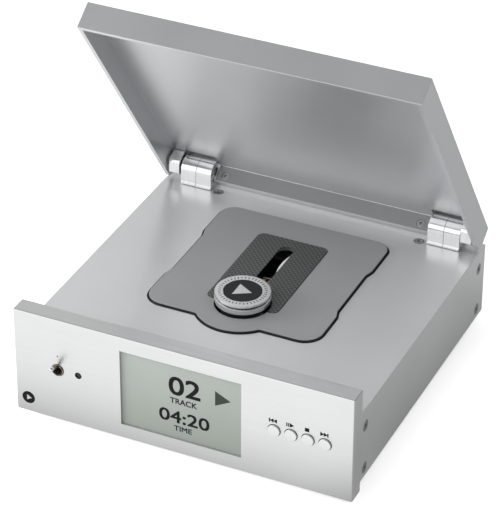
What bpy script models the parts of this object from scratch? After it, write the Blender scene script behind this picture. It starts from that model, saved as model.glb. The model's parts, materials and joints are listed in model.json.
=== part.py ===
"""Top-loading CD player: a low aluminium case, a hinged lid, a suspended disc drive and a front panel.

Millimetres are used for every number below and turned into metres when an object is made.
Case numbers are counted from the front panel: x from its middle, y from its front face towards the
rear, z from its bottom edge.  The assembly is then moved so that the origin lies on the surface
the feet stand on, in the middle of the standing player's outline.
"""

import math

import bmesh
import bpy
from mathutils import Matrix, Vector

MM = 0.001
GAP = 0.3                      # clearance between neighbouring pieces

# ---- driving dimensions -------------------------------------------------------------------------
PANEL_WIDTH = 206.0
PANEL_HEIGHT = 67.7
PANEL_THICKNESS = 11.2
PANEL_SKIN = 3.7               # metal left in front of the panel's pockets
PANEL_MID_Z = PANEL_HEIGHT / 2.0
FLOOR_GAP = 4.0                # panel's bottom edge above the ground

CASE_WIDTH = 204.0
CASE_BOTTOM = 4.5
CASE_TOP = 50.6
CASE_FRONT = PANEL_THICKNESS + GAP
CASE_REAR = 199.9
SIDE_WALL = 3.0
TOP_WALL = 2.5
BASE_WALL = 2.0
REAR_WALL = 2.5
INNER_HALF = CASE_WIDTH / 2.0 - SIDE_WALL - GAP

LID_WIDTH = 204.0
LID_REAR = 198.9               # the closed lid's rear face
LID_FRONT = 12.0
LID_BOTTOM = 51.2
LID_HEIGHT = 16.4
LID_SKIN = 2.8
LID_SIDE_WALL = 2.8
LID_FRONT_WALL = 2.4
LID_REAR_WALL = 5.0
LID_REAR_LIFT = 2.7            # the rear wall stops short of the rim
LID_OPEN_ANGLE = 55.1

HINGE_Y = 193.6
HINGE_Z = 59.6
HINGE_INNER = 70.3             # hinge block's inner end
HINGE_OUTER = 90.5
HINGE_RADIUS = 6.7
ARM_INNER = 91.1
ARM_OUTER = 98.0
# the arm's front, as (back, up) from the hinge axis with the lid shut, from the lid down to its heel
ARM_TOE = -7.8
ARM_FACE = [(-9.5, 0.4), (-9.9, -1.9), (-8.8, -4.1), (-3.2, -8.25)]

SPINDLE_Y = 81.0
DRIVE_TOP = 51.9
DRIVE_PLATE_THICKNESS = 3.0
DRIVE_HALF = 53.8
DRIVE_WAIST_HALF = 52.1
DRIVE_FRONT = 60.5
DRIVE_REAR = 173.9
DRIVE_LOBE_Y = 77.5
DRIVE_LOBE_RADIUS = 26.0
DRIVE_MARGIN = 0.9             # gap between the drive plate and the opening round it
HUB_OPENING = 16.5
CARBON_HALF = 22.1
CARBON_FRONT = 78.4
CARBON_REAR = 153.4
CARBON_THICKNESS = 0.9
CARBON_STEP = 0.3              # the carbon plate stands this proud of the drive plate
SLOT_HALF = 4.4
SLOT_END = 145.2

PUCK_RADIUS = 16.25
PUCK_BOTTOM = 53.3
PUCK_TOP = 60.1

LENS_HOME_Y = 105.0
SLED_TRAVEL = 33.0
RAIL_X = 14.0
RAIL_Z = 40.0
RAIL_RADIUS = 1.5
GEAR_MODULE = 1.0
GEAR_TEETH = 24
PINION_TEETH = 14
TOOTH_SLACK = 0.16             # taken off each side of every tooth
GEAR_X = 31.5
GEAR_Y = 131.5
GEAR_LOW = 38.6
GEAR_HIGH = 42.4
RACK_SPAN = (95.0, 136.4)

TRAY_HALF = 50.0
TRAY_FRONT = 63.0
TRAY_REAR = 172.5
TRAY_WALL = 3.0
TRAY_FLOOR = 30.0
TRAY_FLOOR_THICKNESS = 2.0
TRAY_TOP = 48.6
DAMPER_SPOTS = [(-44.0, 72.0), (44.0, 72.0), (-44.0, 164.0), (44.0, 164.0)]

WINDOW_WIDTH = 73.6
WINDOW_HEIGHT = 49.2
GLASS_DEPTH = 1.3              # the display lies this far behind the front face
BUTTON_X = [56.4, 66.4, 76.4, 86.4]
BUTTON_NAMES = ["previous", "play", "stop", "next"]
BUTTON_Z = 34.0
BUTTON_RADIUS = 3.65
BUTTON_PROUD = 1.1
SWITCH_X = -75.9
SWITCH_Z = 34.0
SWITCH_TILT = 23.4             # lever above the horizontal in its upper place
SWITCH_PIVOT_Y = 4.6
SWITCH_REACH = 13.0            # pivot to the lever's tip
SENSOR_X = -63.0

BOARD_LEVEL = 13.0
BOARD_THICKNESS = 1.6
BOARD_FRONT = 100.0
BOARD_REAR = 190.0
BOARD_HALF = 84.0

FOOT_RADIUS = 9.0
FOOT_SPOTS = [("front_left", -84.0, 33.0), ("front_right", 84.0, 33.0),
              ("rear_left", -84.0, 178.0), ("rear_right", 84.0, 178.0)]
POST_SIZE = 10.0
POST_Y = (19.0, 190.2)
SCREW_LEVELS = (10.7, 38.8)    # side screws
TOP_SCREW = (65.3, 186.5)
SOCKET_Z = 24.0

# outline of the standing player with the lid open, which fixes the origin
LEVER_REACH_Y = SWITCH_PIVOT_Y - SWITCH_REACH * math.cos(math.radians(SWITCH_TILT)) - 1.35
SOCKET_END = 208.2
ORIGIN_Y = (LEVER_REACH_Y + SOCKET_END) / 2.0


# ---- scene --------------------------------------------------------------------------------------
for old in list(bpy.data.objects):
    bpy.data.objects.remove(old, do_unlink=True)

parts = bpy.data.collections.new("cd_player")
cutters = bpy.data.collections.new("cutters")
bpy.context.scene.collection.children.link(parts)
bpy.context.scene.collection.children.link(cutters)


def material(name, color, roughness, metallic):
    """A plain Principled BSDF."""
    made = bpy.data.materials.new(name)
    made.use_nodes = True
    shader = made.node_tree.nodes["Principled BSDF"]
    shader.inputs["Base Color"].default_value = (*color, 1.0)
    shader.inputs["Roughness"].default_value = roughness
    shader.inputs["Metallic"].default_value = metallic
    return made


SILVER = material("silver_aluminium", (0.78, 0.79, 0.79), 0.34, 0.9)
BRIGHT = material("polished_aluminium", (0.90, 0.91, 0.92), 0.16, 1.0)
GREY = material("grey_anodised", (0.24, 0.245, 0.25), 0.5, 0.5)
CARBON = material("carbon_weave", (0.07, 0.07, 0.07), 0.4, 0.0)
BLACK = material("black_plastic", (0.015, 0.015, 0.016), 0.5, 0.0)
RUBBER = material("black_rubber", (0.02, 0.02, 0.02), 0.8, 0.0)
STEEL = material("zinc_steel", (0.55, 0.55, 0.56), 0.35, 1.0)
WHITE = material("white_nylon", (0.85, 0.85, 0.83), 0.5, 0.0)
BOARD = material("green_board", (0.02, 0.16, 0.07), 0.5, 0.0)
LCD = material("display_glass", (0.45, 0.50, 0.45), 0.2, 0.0)
LENS = material("laser_lens", (0.10, 0.14, 0.35), 0.05, 0.0)
GOLD = material("gold_contacts", (0.80, 0.58, 0.22), 0.25, 1.0)


# ---- making things ------------------------------------------------------------------------------
def place(x, y, z):
    """Case numbers to metres in the finished frame."""
    return Vector((x, y - ORIGIN_Y, z + FLOOR_GAP)) * MM


def add_object(name, mesh, look, collection=None):
    made = bpy.data.objects.new(name, mesh)
    (collection or parts).objects.link(made)
    if look is not None:
        mesh.materials.clear()
        mesh.materials.append(look)
    return made


def bevel(target, width, segments=2, angle=40.0):
    rounded = target.modifiers.new("bevel", "BEVEL")
    rounded.width = width * MM
    rounded.segments = segments
    rounded.limit_method = "ANGLE"
    rounded.angle_limit = math.radians(angle)
    return target


def smooth(target, angle=35.0):
    target.data.shade_smooth()
    target.data.set_sharp_from_angle(angle=math.radians(angle))
    return target


def block(name, low, high, look, collection=None, edge=0.0, segments=2):
    """A box between two corners, given in case numbers; its origin is at its middle."""
    centre = (Vector(low) + Vector(high)) / 2.0
    size = Vector(high) - Vector(low)
    mesh = bpy.data.meshes.new(name)
    shape = bmesh.new()
    bmesh.ops.create_cube(shape, size=MM)
    bmesh.ops.scale(shape, vec=size, verts=shape.verts)
    shape.to_mesh(mesh)
    shape.free()
    made = add_object(name, mesh, look, collection)
    made.location = place(*centre)
    if edge:
        bevel(made, edge, segments)
    return made


TURN = {"Z": Matrix.Identity(4),
        "Y": Matrix.Rotation(math.radians(90.0), 4, "X"),
        "X": Matrix.Rotation(math.radians(90.0), 4, "Y")}


def rod(name, centre, radius, length, look, axis="Z", sides=24, collection=None, tip=None):
    """A cylinder, or a cone when tip gives the radius at its far end."""
    mesh = bpy.data.meshes.new(name)
    shape = bmesh.new()
    bmesh.ops.create_cone(shape, cap_ends=True, segments=sides, radius1=radius * MM,
                          radius2=(radius if tip is None else tip) * MM, depth=length * MM,
                          matrix=TURN[axis])
    shape.to_mesh(mesh)
    shape.free()
    made = add_object(name, mesh, look, collection)
    made.location = place(*centre)
    return smooth(made)


def turned(name, centre, profile, look, axis="Z", sides=32, collection=None, ring=False):
    """A profile of (radius, height) points, top to bottom on the outer side, turned about an axis."""
    mesh = bpy.data.meshes.new(name)
    points = [(radius * MM, 0.0, height * MM) for radius, height in profile]
    edges = [(i, i + 1) for i in range(len(points) - 1)]
    if ring:
        edges.append((len(points) - 1, 0))
    mesh.from_pydata(points, edges, [])
    made = add_object(name, mesh, look, collection)
    screw = made.modifiers.new("turn", "SCREW")
    screw.steps = sides
    screw.render_steps = sides
    screw.use_merge_vertices = True
    screw.merge_threshold = 0.00001
    screw.use_smooth_shade = True
    made.matrix_world = Matrix.Translation(place(*centre)) @ TURN[axis]
    return made


def outline_plate(name, outline, low, high, look, collection=None, axis="Z"):
    """A flat outline extruded between two levels along an axis, as a mesh.

    The outline is in x and y for axis Z, in y and z for axis X, and in x and z for axis Y.
    """
    curve = bpy.data.curves.new("outline", "CURVE")
    curve.dimensions = "2D"
    curve.fill_mode = "BOTH"
    curve.extrude = (high - low) / 2.0 * MM
    spline = curve.splines.new("POLY")
    spline.points.add(len(outline) - 1)
    for point, (u, v) in zip(spline.points, outline):
        point.co = (u * MM, v * MM, 0.0, 1.0)
    spline.use_cyclic_u = True
    carrier = bpy.data.objects.new("outline", curve)
    bpy.context.scene.collection.objects.link(carrier)
    middle = (low + high) / 2.0
    if axis == "Z":
        turn = Matrix.Identity(4)
        spot = place(0.0, 0.0, middle)
    elif axis == "X":
        turn = Matrix(((0, 0, 1, 0), (1, 0, 0, 0), (0, 1, 0, 0), (0, 0, 0, 1)))
        spot = place(middle, 0.0, 0.0)
    else:
        turn = Matrix(((1, 0, 0, 0), (0, 0, -1, 0), (0, 1, 0, 0), (0, 0, 0, 1)))
        spot = place(0.0, middle, 0.0)
    carrier.matrix_world = Matrix.Translation(spot) @ turn
    bpy.context.view_layer.update()
    reader = bpy.context.evaluated_depsgraph_get()
    mesh = bpy.data.meshes.new_from_object(carrier.evaluated_get(reader))
    shape = bmesh.new()
    shape.from_mesh(mesh)
    bmesh.ops.remove_doubles(shape, verts=shape.verts, dist=0.000001)
    shape.to_mesh(mesh)
    shape.free()
    made = add_object(name, mesh, look, collection)
    made.matrix_world = carrier.matrix_world.copy()
    bpy.data.objects.remove(carrier, do_unlink=True)
    return made


def frame_point(name, x, y, z):
    """An empty on a joint's axis, which carries the pieces that move about it."""
    made = bpy.data.objects.new(name, None)
    made.empty_display_size = 0.01
    made.location = place(x, y, z)
    parts.objects.link(made)
    bpy.context.view_layer.update()
    return made


def carry(parent, *children):
    """Parents the children without moving them."""
    bpy.context.view_layer.update()
    for child in children:
        world = child.matrix_world.copy()
        child.parent = parent
        child.matrix_parent_inverse = parent.matrix_world.inverted()
        child.matrix_world = world


def change(target, tool, operation):
    """A Boolean of target with a tool, which is hidden afterwards and moves with the target."""
    step = target.modifiers.new(operation.lower(), "BOOLEAN")
    step.operation = operation
    step.solver = "EXACT"
    step.object = tool
    tool.hide_render = True
    tool.display_type = "WIRE"
    if parts in tool.users_collection:
        parts.objects.unlink(tool)
        cutters.objects.link(tool)
    carry(target, tool)


def cut(target, *tools):
    for tool in tools:
        change(target, tool, "DIFFERENCE")
    return target


def join(target, *tools):
    for tool in tools:
        change(target, tool, "UNION")
    return target


def cut_block(low, high):
    return block("cut_block", low, high, None, cutters)


def cut_rod(centre, radius, length, axis="Z", sides=24):
    return rod("cut_rod", centre, radius, length, None, axis, sides, cutters)


def arc(centre, radius, start, end, steps):
    """Points along an arc, angles in degrees."""
    found = []
    for i in range(steps + 1):
        angle = math.radians(start + (end - start) * i / steps)
        found.append((centre[0] + radius * math.cos(angle), centre[1] + radius * math.sin(angle)))
    return found


def rounded(corners, steps=5):
    """A closed outline from (u, v, radius) corners, each rounded with its radius."""
    found = []
    count = len(corners)
    for i in range(count):
        u, v, radius = corners[i]
        here = Vector((u, v))
        if not radius:
            found.append((u, v))
            continue
        before = (Vector(corners[i - 1][:2]) - here).normalized()
        after = (Vector(corners[(i + 1) % count][:2]) - here).normalized()
        half = before.angle(after) / 2.0
        reach = radius / math.tan(half)
        centre = here + (before + after).normalized() * (radius / math.sin(half))
        first = here + before * reach - centre
        last = here + after * reach - centre
        sweep = first.angle_signed(last)
        for k in range(steps + 1):
            turn = -sweep * k / steps
            spot = Vector((first.x * math.cos(turn) - first.y * math.sin(turn),
                           first.x * math.sin(turn) + first.y * math.cos(turn)))
            found.append(tuple(centre + spot))
    return found


def grown(corners, extra):
    """An outline of (u, v, radius) corners, counter-clockwise, moved outwards by extra."""
    found = []
    count = len(corners)
    for i in range(count):
        here = Vector(corners[i][:2])
        before = (here - Vector(corners[i - 1][:2])).normalized()
        after = (Vector(corners[(i + 1) % count][:2]) - here).normalized()
        out_before = Vector((before.y, -before.x))
        out_after = Vector((after.y, -after.x))
        shift = (out_before + out_after).normalized()
        shift *= extra / shift.dot(out_before)
        bend = before.x * after.y - before.y * after.x
        radius = corners[i][2] + (extra if bend > 0 else -extra)
        found.append((here.x + shift.x, here.y + shift.y, max(radius, 0.3)))
    return found


def countersunk(centre, head, shaft, length, axis="Z", sides=12):
    """A countersunk screw with a blind drive recess; its head's face is at centre."""
    depth = (head - shaft) * 0.9
    recess = head * 0.42
    floor = depth * 0.75
    profile = [(0.0, -floor), (recess, -floor), (recess, 0.0), (head, 0.0), (shaft, -depth),
               (shaft, -length), (0.0, -length)]
    return turned("screw", centre, profile, STEEL, axis, sides)


def countersink(centre, head, shaft, length, axis="Z"):
    """The cutter of a countersunk hole, a little larger than its screw."""
    depth = (head - shaft) * 0.9
    profile = [(0.0, 0.5), (head + GAP, 0.5), (head + GAP, -0.05), (shaft + GAP, -depth - 0.1),
               (shaft + GAP, -length), (0.0, -length)]
    return turned("cut_screw", centre, profile, None, axis, 12, cutters)


# ---- case ---------------------------------------------------------------------------------------
def front_panel():
    half = PANEL_WIDTH / 2.0
    panel = block("front_panel", (-half, 0.0, 0.0), (half, PANEL_THICKNESS, PANEL_HEIGHT), SILVER,
                  edge=0.7, segments=2)
    back = PANEL_THICKNESS + 2.0
    mid = PANEL_MID_Z
    window = cut_block((-WINDOW_WIDTH / 2, -2.0, mid - WINDOW_HEIGHT / 2),
                       (WINDOW_WIDTH / 2, back, mid + WINDOW_HEIGHT / 2))
    display_pocket = cut_block((-49.0, PANEL_SKIN, mid - 31.2), (49.0, back, mid + 27.4))
    button_pocket = cut_block((50.6, PANEL_SKIN, 22.0), (95.0, back, 47.0))
    switch_pocket = cut_block((-84.0, PANEL_SKIN, 22.0), (-56.0, back, 47.0))
    cut(panel, window, display_pocket, button_pocket, switch_pocket)
    for x in BUTTON_X:
        cut(panel, cut_rod((x, PANEL_SKIN / 2, BUTTON_Z), BUTTON_RADIUS + GAP, PANEL_SKIN + 3, "Y"))
    cut(panel, cut_rod((SWITCH_X, PANEL_SKIN / 2, SWITCH_Z), 3.75 + GAP, PANEL_SKIN + 3, "Y"))
    cut(panel, cut_rod((SENSOR_X, PANEL_SKIN / 2, SWITCH_Z), 2.1, PANEL_SKIN + 3, "Y", 20))
    return panel


def drive_corners():
    """The drive plate's outline: rounded corners, a waist on each side and a lobe at the front.

    The front edge leans by a hair on each side of the lobe, so its points don't lie on one line.
    """
    lean = 0.04
    lobe_half = math.sqrt(DRIVE_LOBE_RADIUS ** 2 - (DRIVE_LOBE_Y - DRIVE_FRONT) ** 2)
    start = math.degrees(math.atan2(DRIVE_FRONT - DRIVE_LOBE_Y, -lobe_half))
    lobe = arc((0.0, DRIVE_LOBE_Y), DRIVE_LOBE_RADIUS, start, -180.0 - start, 10)
    corners = [(-DRIVE_HALF, DRIVE_FRONT + lean, 11.5)]
    for i, (u, v) in enumerate(lobe):
        corners.append((u, v, 2.5 if i in (0, len(lobe) - 1) else 0.0))
    right = [(DRIVE_HALF, DRIVE_FRONT + lean, 11.5), (DRIVE_HALF, 90.5, 2.0), (DRIVE_WAIST_HALF, 96.5, 2.0),
             (DRIVE_WAIST_HALF, 136.8, 2.0), (DRIVE_HALF, 142.8, 2.0),
             (DRIVE_HALF, DRIVE_REAR, 9.5)]
    corners += right
    corners += [(-u, v, radius) for u, v, radius in reversed(right[1:])]
    return corners


def case_cover():
    """A U of sheet: the top and both sides, with the opening for the drive."""
    half = CASE_WIDTH / 2.0
    cover = block("case_cover", (-half, CASE_FRONT, CASE_BOTTOM), (half, CASE_REAR, CASE_TOP), SILVER,
                  edge=0.35, segments=1)
    inside = cut_block((-half + SIDE_WALL, CASE_FRONT - 5.0, CASE_BOTTOM - 5.0),
                       (half - SIDE_WALL, CASE_REAR + 5.0, CASE_TOP - TOP_WALL))
    opening = outline_plate("cut_drive", rounded(grown(drive_corners(), DRIVE_MARGIN), 4),
                            CASE_TOP - TOP_WALL - 2.0, CASE_TOP + 2.0, None, cutters)
    cut(cover, inside, opening)
    for side in (-1, 1):
        for y in POST_Y:
            for z in SCREW_LEVELS:
                hole = countersink((side * half, y, z), 3.4, 1.5, SIDE_WALL + 1.0, "X")
                if side < 0:
                    hole.matrix_world = hole.matrix_world @ Matrix.Rotation(math.pi, 4, "X")
                cut(cover, hole)
        cut(cover, countersink((side * TOP_SCREW[0], TOP_SCREW[1], CASE_TOP), 3.2, 1.5, TOP_WALL + 1.0))
    return cover


def corner_posts():
    """Four upright bars inside the corners, each joined to the two side screws threaded into it."""
    half = CASE_WIDTH / 2.0
    outer = half - SIDE_WALL - GAP
    low = CASE_BOTTOM + BASE_WALL + GAP
    for side, word in ((-1, "left"), (1, "right")):
        for y, place_word in zip(POST_Y, ("front", "rear")):
            near, far = sorted((side * outer, side * (outer - POST_SIZE)))
            post = block(f"corner_post_{place_word}_{word}", (near, y - POST_SIZE / 2, low),
                         (far, y + POST_SIZE / 2, CASE_TOP - TOP_WALL - GAP), STEEL)
            for z in SCREW_LEVELS:
                screw = countersunk((side * half, y, z), 3.4, 1.5, 9.0, "X")
                if side < 0:
                    screw.matrix_world = screw.matrix_world @ Matrix.Rotation(math.pi, 4, "X")
                join(post, screw)


def base_plate():
    """The floor of the case, with studs for the board and for the drive's dampers."""
    low = CASE_BOTTOM
    top = CASE_BOTTOM + BASE_WALL
    plate = block("base_plate", (-INNER_HALF, CASE_FRONT, low), (INNER_HALF, CASE_REAR - 0.2, top), STEEL)
    for x, y in DAMPER_SPOTS:
        join(plate, rod("stud", (x, y, (top + 19.7) / 2 - 0.25), 4.0, 19.7 - top + 0.5, STEEL, sides=16))
    for x in (-78.0, 78.0):
        for y in (106.0, 165.0):
            high = BOARD_LEVEL - GAP
            join(plate, rod("stud", (x, y, (top + high) / 2 - 0.25), 2.5, high - top + 0.5, STEEL, sides=12))
    for _, x, y in FOOT_SPOTS:
        cut(plate, cut_rod((x, y, low), 1.5 + GAP, 8.0, "Z", 16))
    return plate


def feet():
    """Rubber feet, each with a counterbored hole for its screw."""
    high = CASE_BOTTOM - GAP
    low = -FLOOR_GAP
    profile = [(1.8, high), (FOOT_RADIUS - 1.0, high), (FOOT_RADIUS, high - 1.0),
               (FOOT_RADIUS, low + 1.0), (FOOT_RADIUS - 1.0, low), (3.6, low), (3.6, low + 3.0),
               (1.8, low + 3.0)]
    for name, x, y in FOOT_SPOTS:
        turned("foot_" + name, (x, y, 0.0), profile, RUBBER, sides=20, ring=True)


SOCKETS = {"power_inlet": -76.0, "balanced_output": -38.0, "coax_output": 6.0, "optical_output": 34.0}


def rear_panel():
    low = CASE_BOTTOM + BASE_WALL + GAP
    high = CASE_TOP - TOP_WALL - GAP
    plate = block("rear_panel", (-INNER_HALF, CASE_REAR - 0.2 - REAR_WALL, low),
                  (INNER_HALF, CASE_REAR - 0.2, high), SILVER)
    middle = CASE_REAR - 1.5
    cut(plate,
        cut_rod((SOCKETS["power_inlet"], middle, SOCKET_Z), 4.3, 8.0, "Y"),
        cut_rod((SOCKETS["balanced_output"], middle, SOCKET_Z), 9.8, 8.0, "Y", 32),
        cut_rod((SOCKETS["coax_output"], middle, SOCKET_Z), 4.8, 8.0, "Y"),
        cut_block((SOCKETS["optical_output"] - 5.3, middle - 4, SOCKET_Z - 5.3),
                  (SOCKETS["optical_output"] + 5.3, middle + 4, SOCKET_Z + 5.3)))
    return plate


def sockets():
    face = CASE_REAR - 0.2
    x = SOCKETS["power_inlet"]
    inlet = block("power_inlet", (x - 6.0, face - 17.0, SOCKET_Z - 7.0),
                  (x + 6.0, face - REAR_WALL - GAP, SOCKET_Z + 6.0), BLACK)
    join(inlet, rod("boss", (x, face - 3.0, SOCKET_Z), 4.0, 8.0, BLACK, "Y"))
    cut(inlet, cut_rod((x, face - 4.0, SOCKET_Z), 2.8, 18.0, "Y"))
    join(inlet, rod("pin", (x, face - 8.0, SOCKET_Z), 1.0, 14.0, BLACK, "Y", 12))

    x = SOCKETS["balanced_output"]
    xlr = block("balanced_output", (x - 12.5, face - 22.0, SOCKET_Z - 12.5),
                (x + 12.5, face - REAR_WALL - GAP, SOCKET_Z + 12.5), BLACK)
    join(xlr, rod("barrel", (x, face - 3.0, SOCKET_Z), 9.5, 8.4, BLACK, "Y", 32))
    cut(xlr, cut_rod((x, face - 4.0, SOCKET_Z), 7.9, 24.0, "Y", 32))
    for angle in (90.0, 210.0, 330.0):
        pin_x = x + 4.2 * math.cos(math.radians(angle))
        pin_z = SOCKET_Z + 4.2 * math.sin(math.radians(angle))
        join(xlr, rod("pin", (pin_x, face - 12.0, pin_z), 1.2, 12.0, GOLD, "Y", 12))

    x = SOCKETS["coax_output"]
    coax = block("coax_output", (x - 5.0, face - 14.0, SOCKET_Z - 6.0),
                 (x + 5.0, face - REAR_WALL - GAP, SOCKET_Z + 6.0), BLACK)
    barrel_length = SOCKET_END - (face - 6.0)
    join(coax, rod("barrel", (x, SOCKET_END - barrel_length / 2, SOCKET_Z), 4.2, barrel_length, GOLD, "Y"))
    cut(coax, cut_rod((x, SOCKET_END, SOCKET_Z), 1.9, 16.0, "Y", 16))

    x = SOCKETS["optical_output"]
    optical = block("optical_output", (x - 5.0, face - 14.0, SOCKET_Z - 5.0),
                    (x + 5.0, face + 1.0, SOCKET_Z + 5.0), BLACK)
    cut(optical, cut_block((x - 2.9, face - 7.0, SOCKET_Z - 2.9), (x + 2.9, face + 4.0, SOCKET_Z + 2.9)))
    return [inlet, xlr, coax, optical]


def rear_rail():
    """A cross bar under the rear of the top, joined to the two screws threaded into it."""
    high = CASE_TOP - TOP_WALL - GAP
    rail = block("rear_rail", (-84.0, 182.6, high - 5.0), (84.0, 190.0, high), STEEL)
    for side in (-1, 1):
        join(rail, countersunk((side * TOP_SCREW[0], TOP_SCREW[1], CASE_TOP), 3.2, 1.5, 6.5))
    return rail


# ---- lid and hinges -----------------------------------------------------------------------------
def hinge_outline():
    """The fixed half's side view, y and z: upright front face, round top and rear, flat foot."""
    foot = CASE_TOP + GAP
    front = HINGE_Y - HINGE_RADIUS - 0.9
    top = arc((HINGE_Y, HINGE_Z), HINGE_RADIUS, 120.0, -30.0, 10)
    rear = HINGE_Y + 5.6
    shoulder = arc((front + 6.4, HINGE_Z - 0.2), 6.4, 180.0, 130.0, 4)
    return [(front, foot + 1.7)] + shoulder + top + [(rear, foot + 1.7), (rear, foot),
                                                     (front - 0.9, foot), (front - 0.9, foot + 1.2),
                                                     (front, foot + 1.2)]


def hinges():
    """Each hinge has a foot block and a cap of the same outline, and a pin that turns in both."""
    middle = (HINGE_INNER + HINGE_OUTER) / 2.0
    for side, word in ((-1, "left"), (1, "right")):
        for name, near, far in (("hinge_cap_", HINGE_INNER, middle - 0.15),
                                ("hinge_block_", middle + 0.15, HINGE_OUTER)):
            low, high = sorted((side * near, side * far))
            piece = outline_plate(name + word, hinge_outline(), low, high, BRIGHT, axis="X")
            cut(piece, cut_rod((side * middle, HINGE_Y, HINGE_Z), 2.5 + GAP, 40.0, "X", 20))


def lid_side_outline():
    """The lid's side view when closed, with its lower rear edge cut away to clear the case."""
    top = LID_BOTTOM + LID_HEIGHT
    return [(LID_FRONT, LID_BOTTOM), (LID_REAR - LID_REAR_LIFT, LID_BOTTOM),
            (LID_REAR, LID_BOTTOM + LID_REAR_LIFT), (LID_REAR, top), (LID_FRONT, top)]


def lid():
    """Built closed, then turned open about the hinge axis."""
    axis = frame_point("lid_axis", 0.0, HINGE_Y, HINGE_Z)
    half = LID_WIDTH / 2.0
    floor = LID_BOTTOM + LID_HEIGHT - LID_SKIN
    shell = outline_plate("lid_shell", lid_side_outline(), -half, half, SILVER, axis="X")
    bevel(shell, 0.6, 2)
    pocket = cut_block((-half + LID_SIDE_WALL, LID_FRONT + LID_FRONT_WALL, LID_BOTTOM - 5.0),
                       (half - LID_SIDE_WALL, LID_REAR - LID_REAR_WALL, floor))
    short_rear = cut_block((-half + LID_SIDE_WALL, LID_REAR - LID_REAR_WALL - 1.0, LID_BOTTOM - 5.0),
                           (half - LID_SIDE_WALL, LID_REAR + 5.0, LID_BOTTOM + LID_REAR_LIFT))
    cut(shell, pocket, short_rear)
    relief_top = HINGE_Z + HINGE_RADIUS + 0.35
    for side in (-1, 1):
        low, high = sorted((side * (HINGE_INNER - 0.6), side * (half - LID_SIDE_WALL)))
        cut(shell, cut_block((low, LID_REAR - LID_REAR_WALL - 0.5, LID_BOTTOM - 5.0),
                             (high, LID_REAR + 5.0, floor - 0.05)))
        low, high = sorted((side * (HINGE_INNER - 0.6), side * (HINGE_OUTER + 0.3)))
        cut(shell, cut_block((low, HINGE_Y - 9.4, floor - 1.0), (high, LID_REAR + 5.0, relief_top)))
    carried = [shell]
    for side, word in ((-1, "left"), (1, "right")):
        spot = (side * 63.6, LID_REAR - LID_REAR_WALL, LID_BOTTOM + 7.2)
        cut(shell, countersink(spot, 2.6, 1.2, 3.0, "Y"))
        screw = countersunk(spot, 2.6, 1.2, 2.7, "Y")
        screw.name = "lid_screw_" + word
        carried.append(screw)
    for side, word in ((-1, "left"), (1, "right")):
        carried += lid_arm(side, word, floor)
    carry(axis, *carried)
    axis.rotation_euler.x = -math.radians(LID_OPEN_ANGLE)
    bpy.context.view_layer.update()


def lid_arm(side, word, floor):
    """The moving half of a hinge: an eye round the pin and a foot on the lid's inner face."""
    low, high = sorted((side * ARM_INNER, side * ARM_OUTER))
    ceiling = floor - GAP
    reach = math.degrees(math.asin((ceiling - HINGE_Z) / HINGE_RADIUS))
    heel = Vector(ARM_FACE[-1])
    tangent = math.degrees(math.atan2(-heel.y, -heel.x) - math.asin(HINGE_RADIUS / heel.length)) + 270.0
    eye = arc((HINGE_Y, HINGE_Z), HINGE_RADIUS, tangent, 360.0 + reach, 8)
    face = [(HINGE_Y + back, HINGE_Z + up) for back, up in ARM_FACE]
    outline = [(HINGE_Y + ARM_TOE, ceiling)] + face + eye
    arm = outline_plate("lid_arm_" + word, outline, low, high, BRIGHT, axis="X")
    cut(arm, cut_rod((side * (ARM_OUTER + ARM_INNER) / 2, HINGE_Y, HINGE_Z), 2.5 + GAP, 20.0, "X", 20))
    pin_low, pin_high = sorted((side * (HINGE_INNER + 0.8), side * (ARM_OUTER - 0.3)))
    pin = rod("hinge_pin_" + word, ((pin_low + pin_high) / 2, HINGE_Y, HINGE_Z), 2.5,
              pin_high - pin_low, STEEL, "X", 20)
    return [arm, pin]


# ---- disc drive ---------------------------------------------------------------------------------
def slot_outline(half, end):
    return [(-half, SPINDLE_Y + 6.0), (half, SPINDLE_Y + 6.0)] + arc((0.0, end - half), half, 0.0, 180.0, 8)


def drive_plate():
    plate = outline_plate("drive_plate", rounded(drive_corners(), 4),
                          DRIVE_TOP - DRIVE_PLATE_THICKNESS, DRIVE_TOP, GREY)
    level = DRIVE_TOP + CARBON_STEP - CARBON_THICKNESS - GAP
    low = [(-CARBON_HALF - GAP, CARBON_FRONT - GAP, 4.3), (CARBON_HALF + GAP, CARBON_FRONT - GAP, 4.3),
           (CARBON_HALF + GAP, CARBON_REAR + GAP, 4.3), (-CARBON_HALF - GAP, CARBON_REAR + GAP, 4.3)]
    recess = outline_plate("cut_recess", rounded(low, 4), level, DRIVE_TOP + 2.0, None, cutters)
    slot = outline_plate("cut_slot", slot_outline(SLOT_HALF + 1.6, SLOT_END + 1.6),
                         DRIVE_TOP - 8.0, DRIVE_TOP + 2.0, None, cutters)
    cut(plate, cut_rod((0.0, SPINDLE_Y, DRIVE_TOP), HUB_OPENING, 20.0, "Z", 48), recess, slot)
    return plate


def carbon_plate():
    low = [(-CARBON_HALF, CARBON_FRONT, 4.0), (CARBON_HALF, CARBON_FRONT, 4.0),
           (CARBON_HALF, CARBON_REAR, 4.0), (-CARBON_HALF, CARBON_REAR, 4.0)]
    top = DRIVE_TOP + CARBON_STEP
    plate = outline_plate("carbon_plate", rounded(low, 4), top - CARBON_THICKNESS, top, CARBON)
    slot = outline_plate("cut_slot", slot_outline(SLOT_HALF, SLOT_END), top - 4.0, top + 2.0, None, cutters)
    cut(plate, cut_rod((0.0, SPINDLE_Y, top), HUB_OPENING, 20.0, "Z", 48), slot)
    return plate


def slot_guard():
    """A thin nylon lip under the carbon plate, on the right of the slot, with a bowed edge."""
    outer = SLOT_HALF + 1.3
    bow_radius = 38.0
    inner = 2.2
    bow = arc((inner + bow_radius, 129.0), bow_radius, 198.5, 161.5, 8)
    outline = [(outer, bow[0][1])] + [(outer, bow[-1][1])] + bow[::-1]
    return outline_plate("slot_guard", outline, 49.4, 50.7, WHITE)


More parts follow.
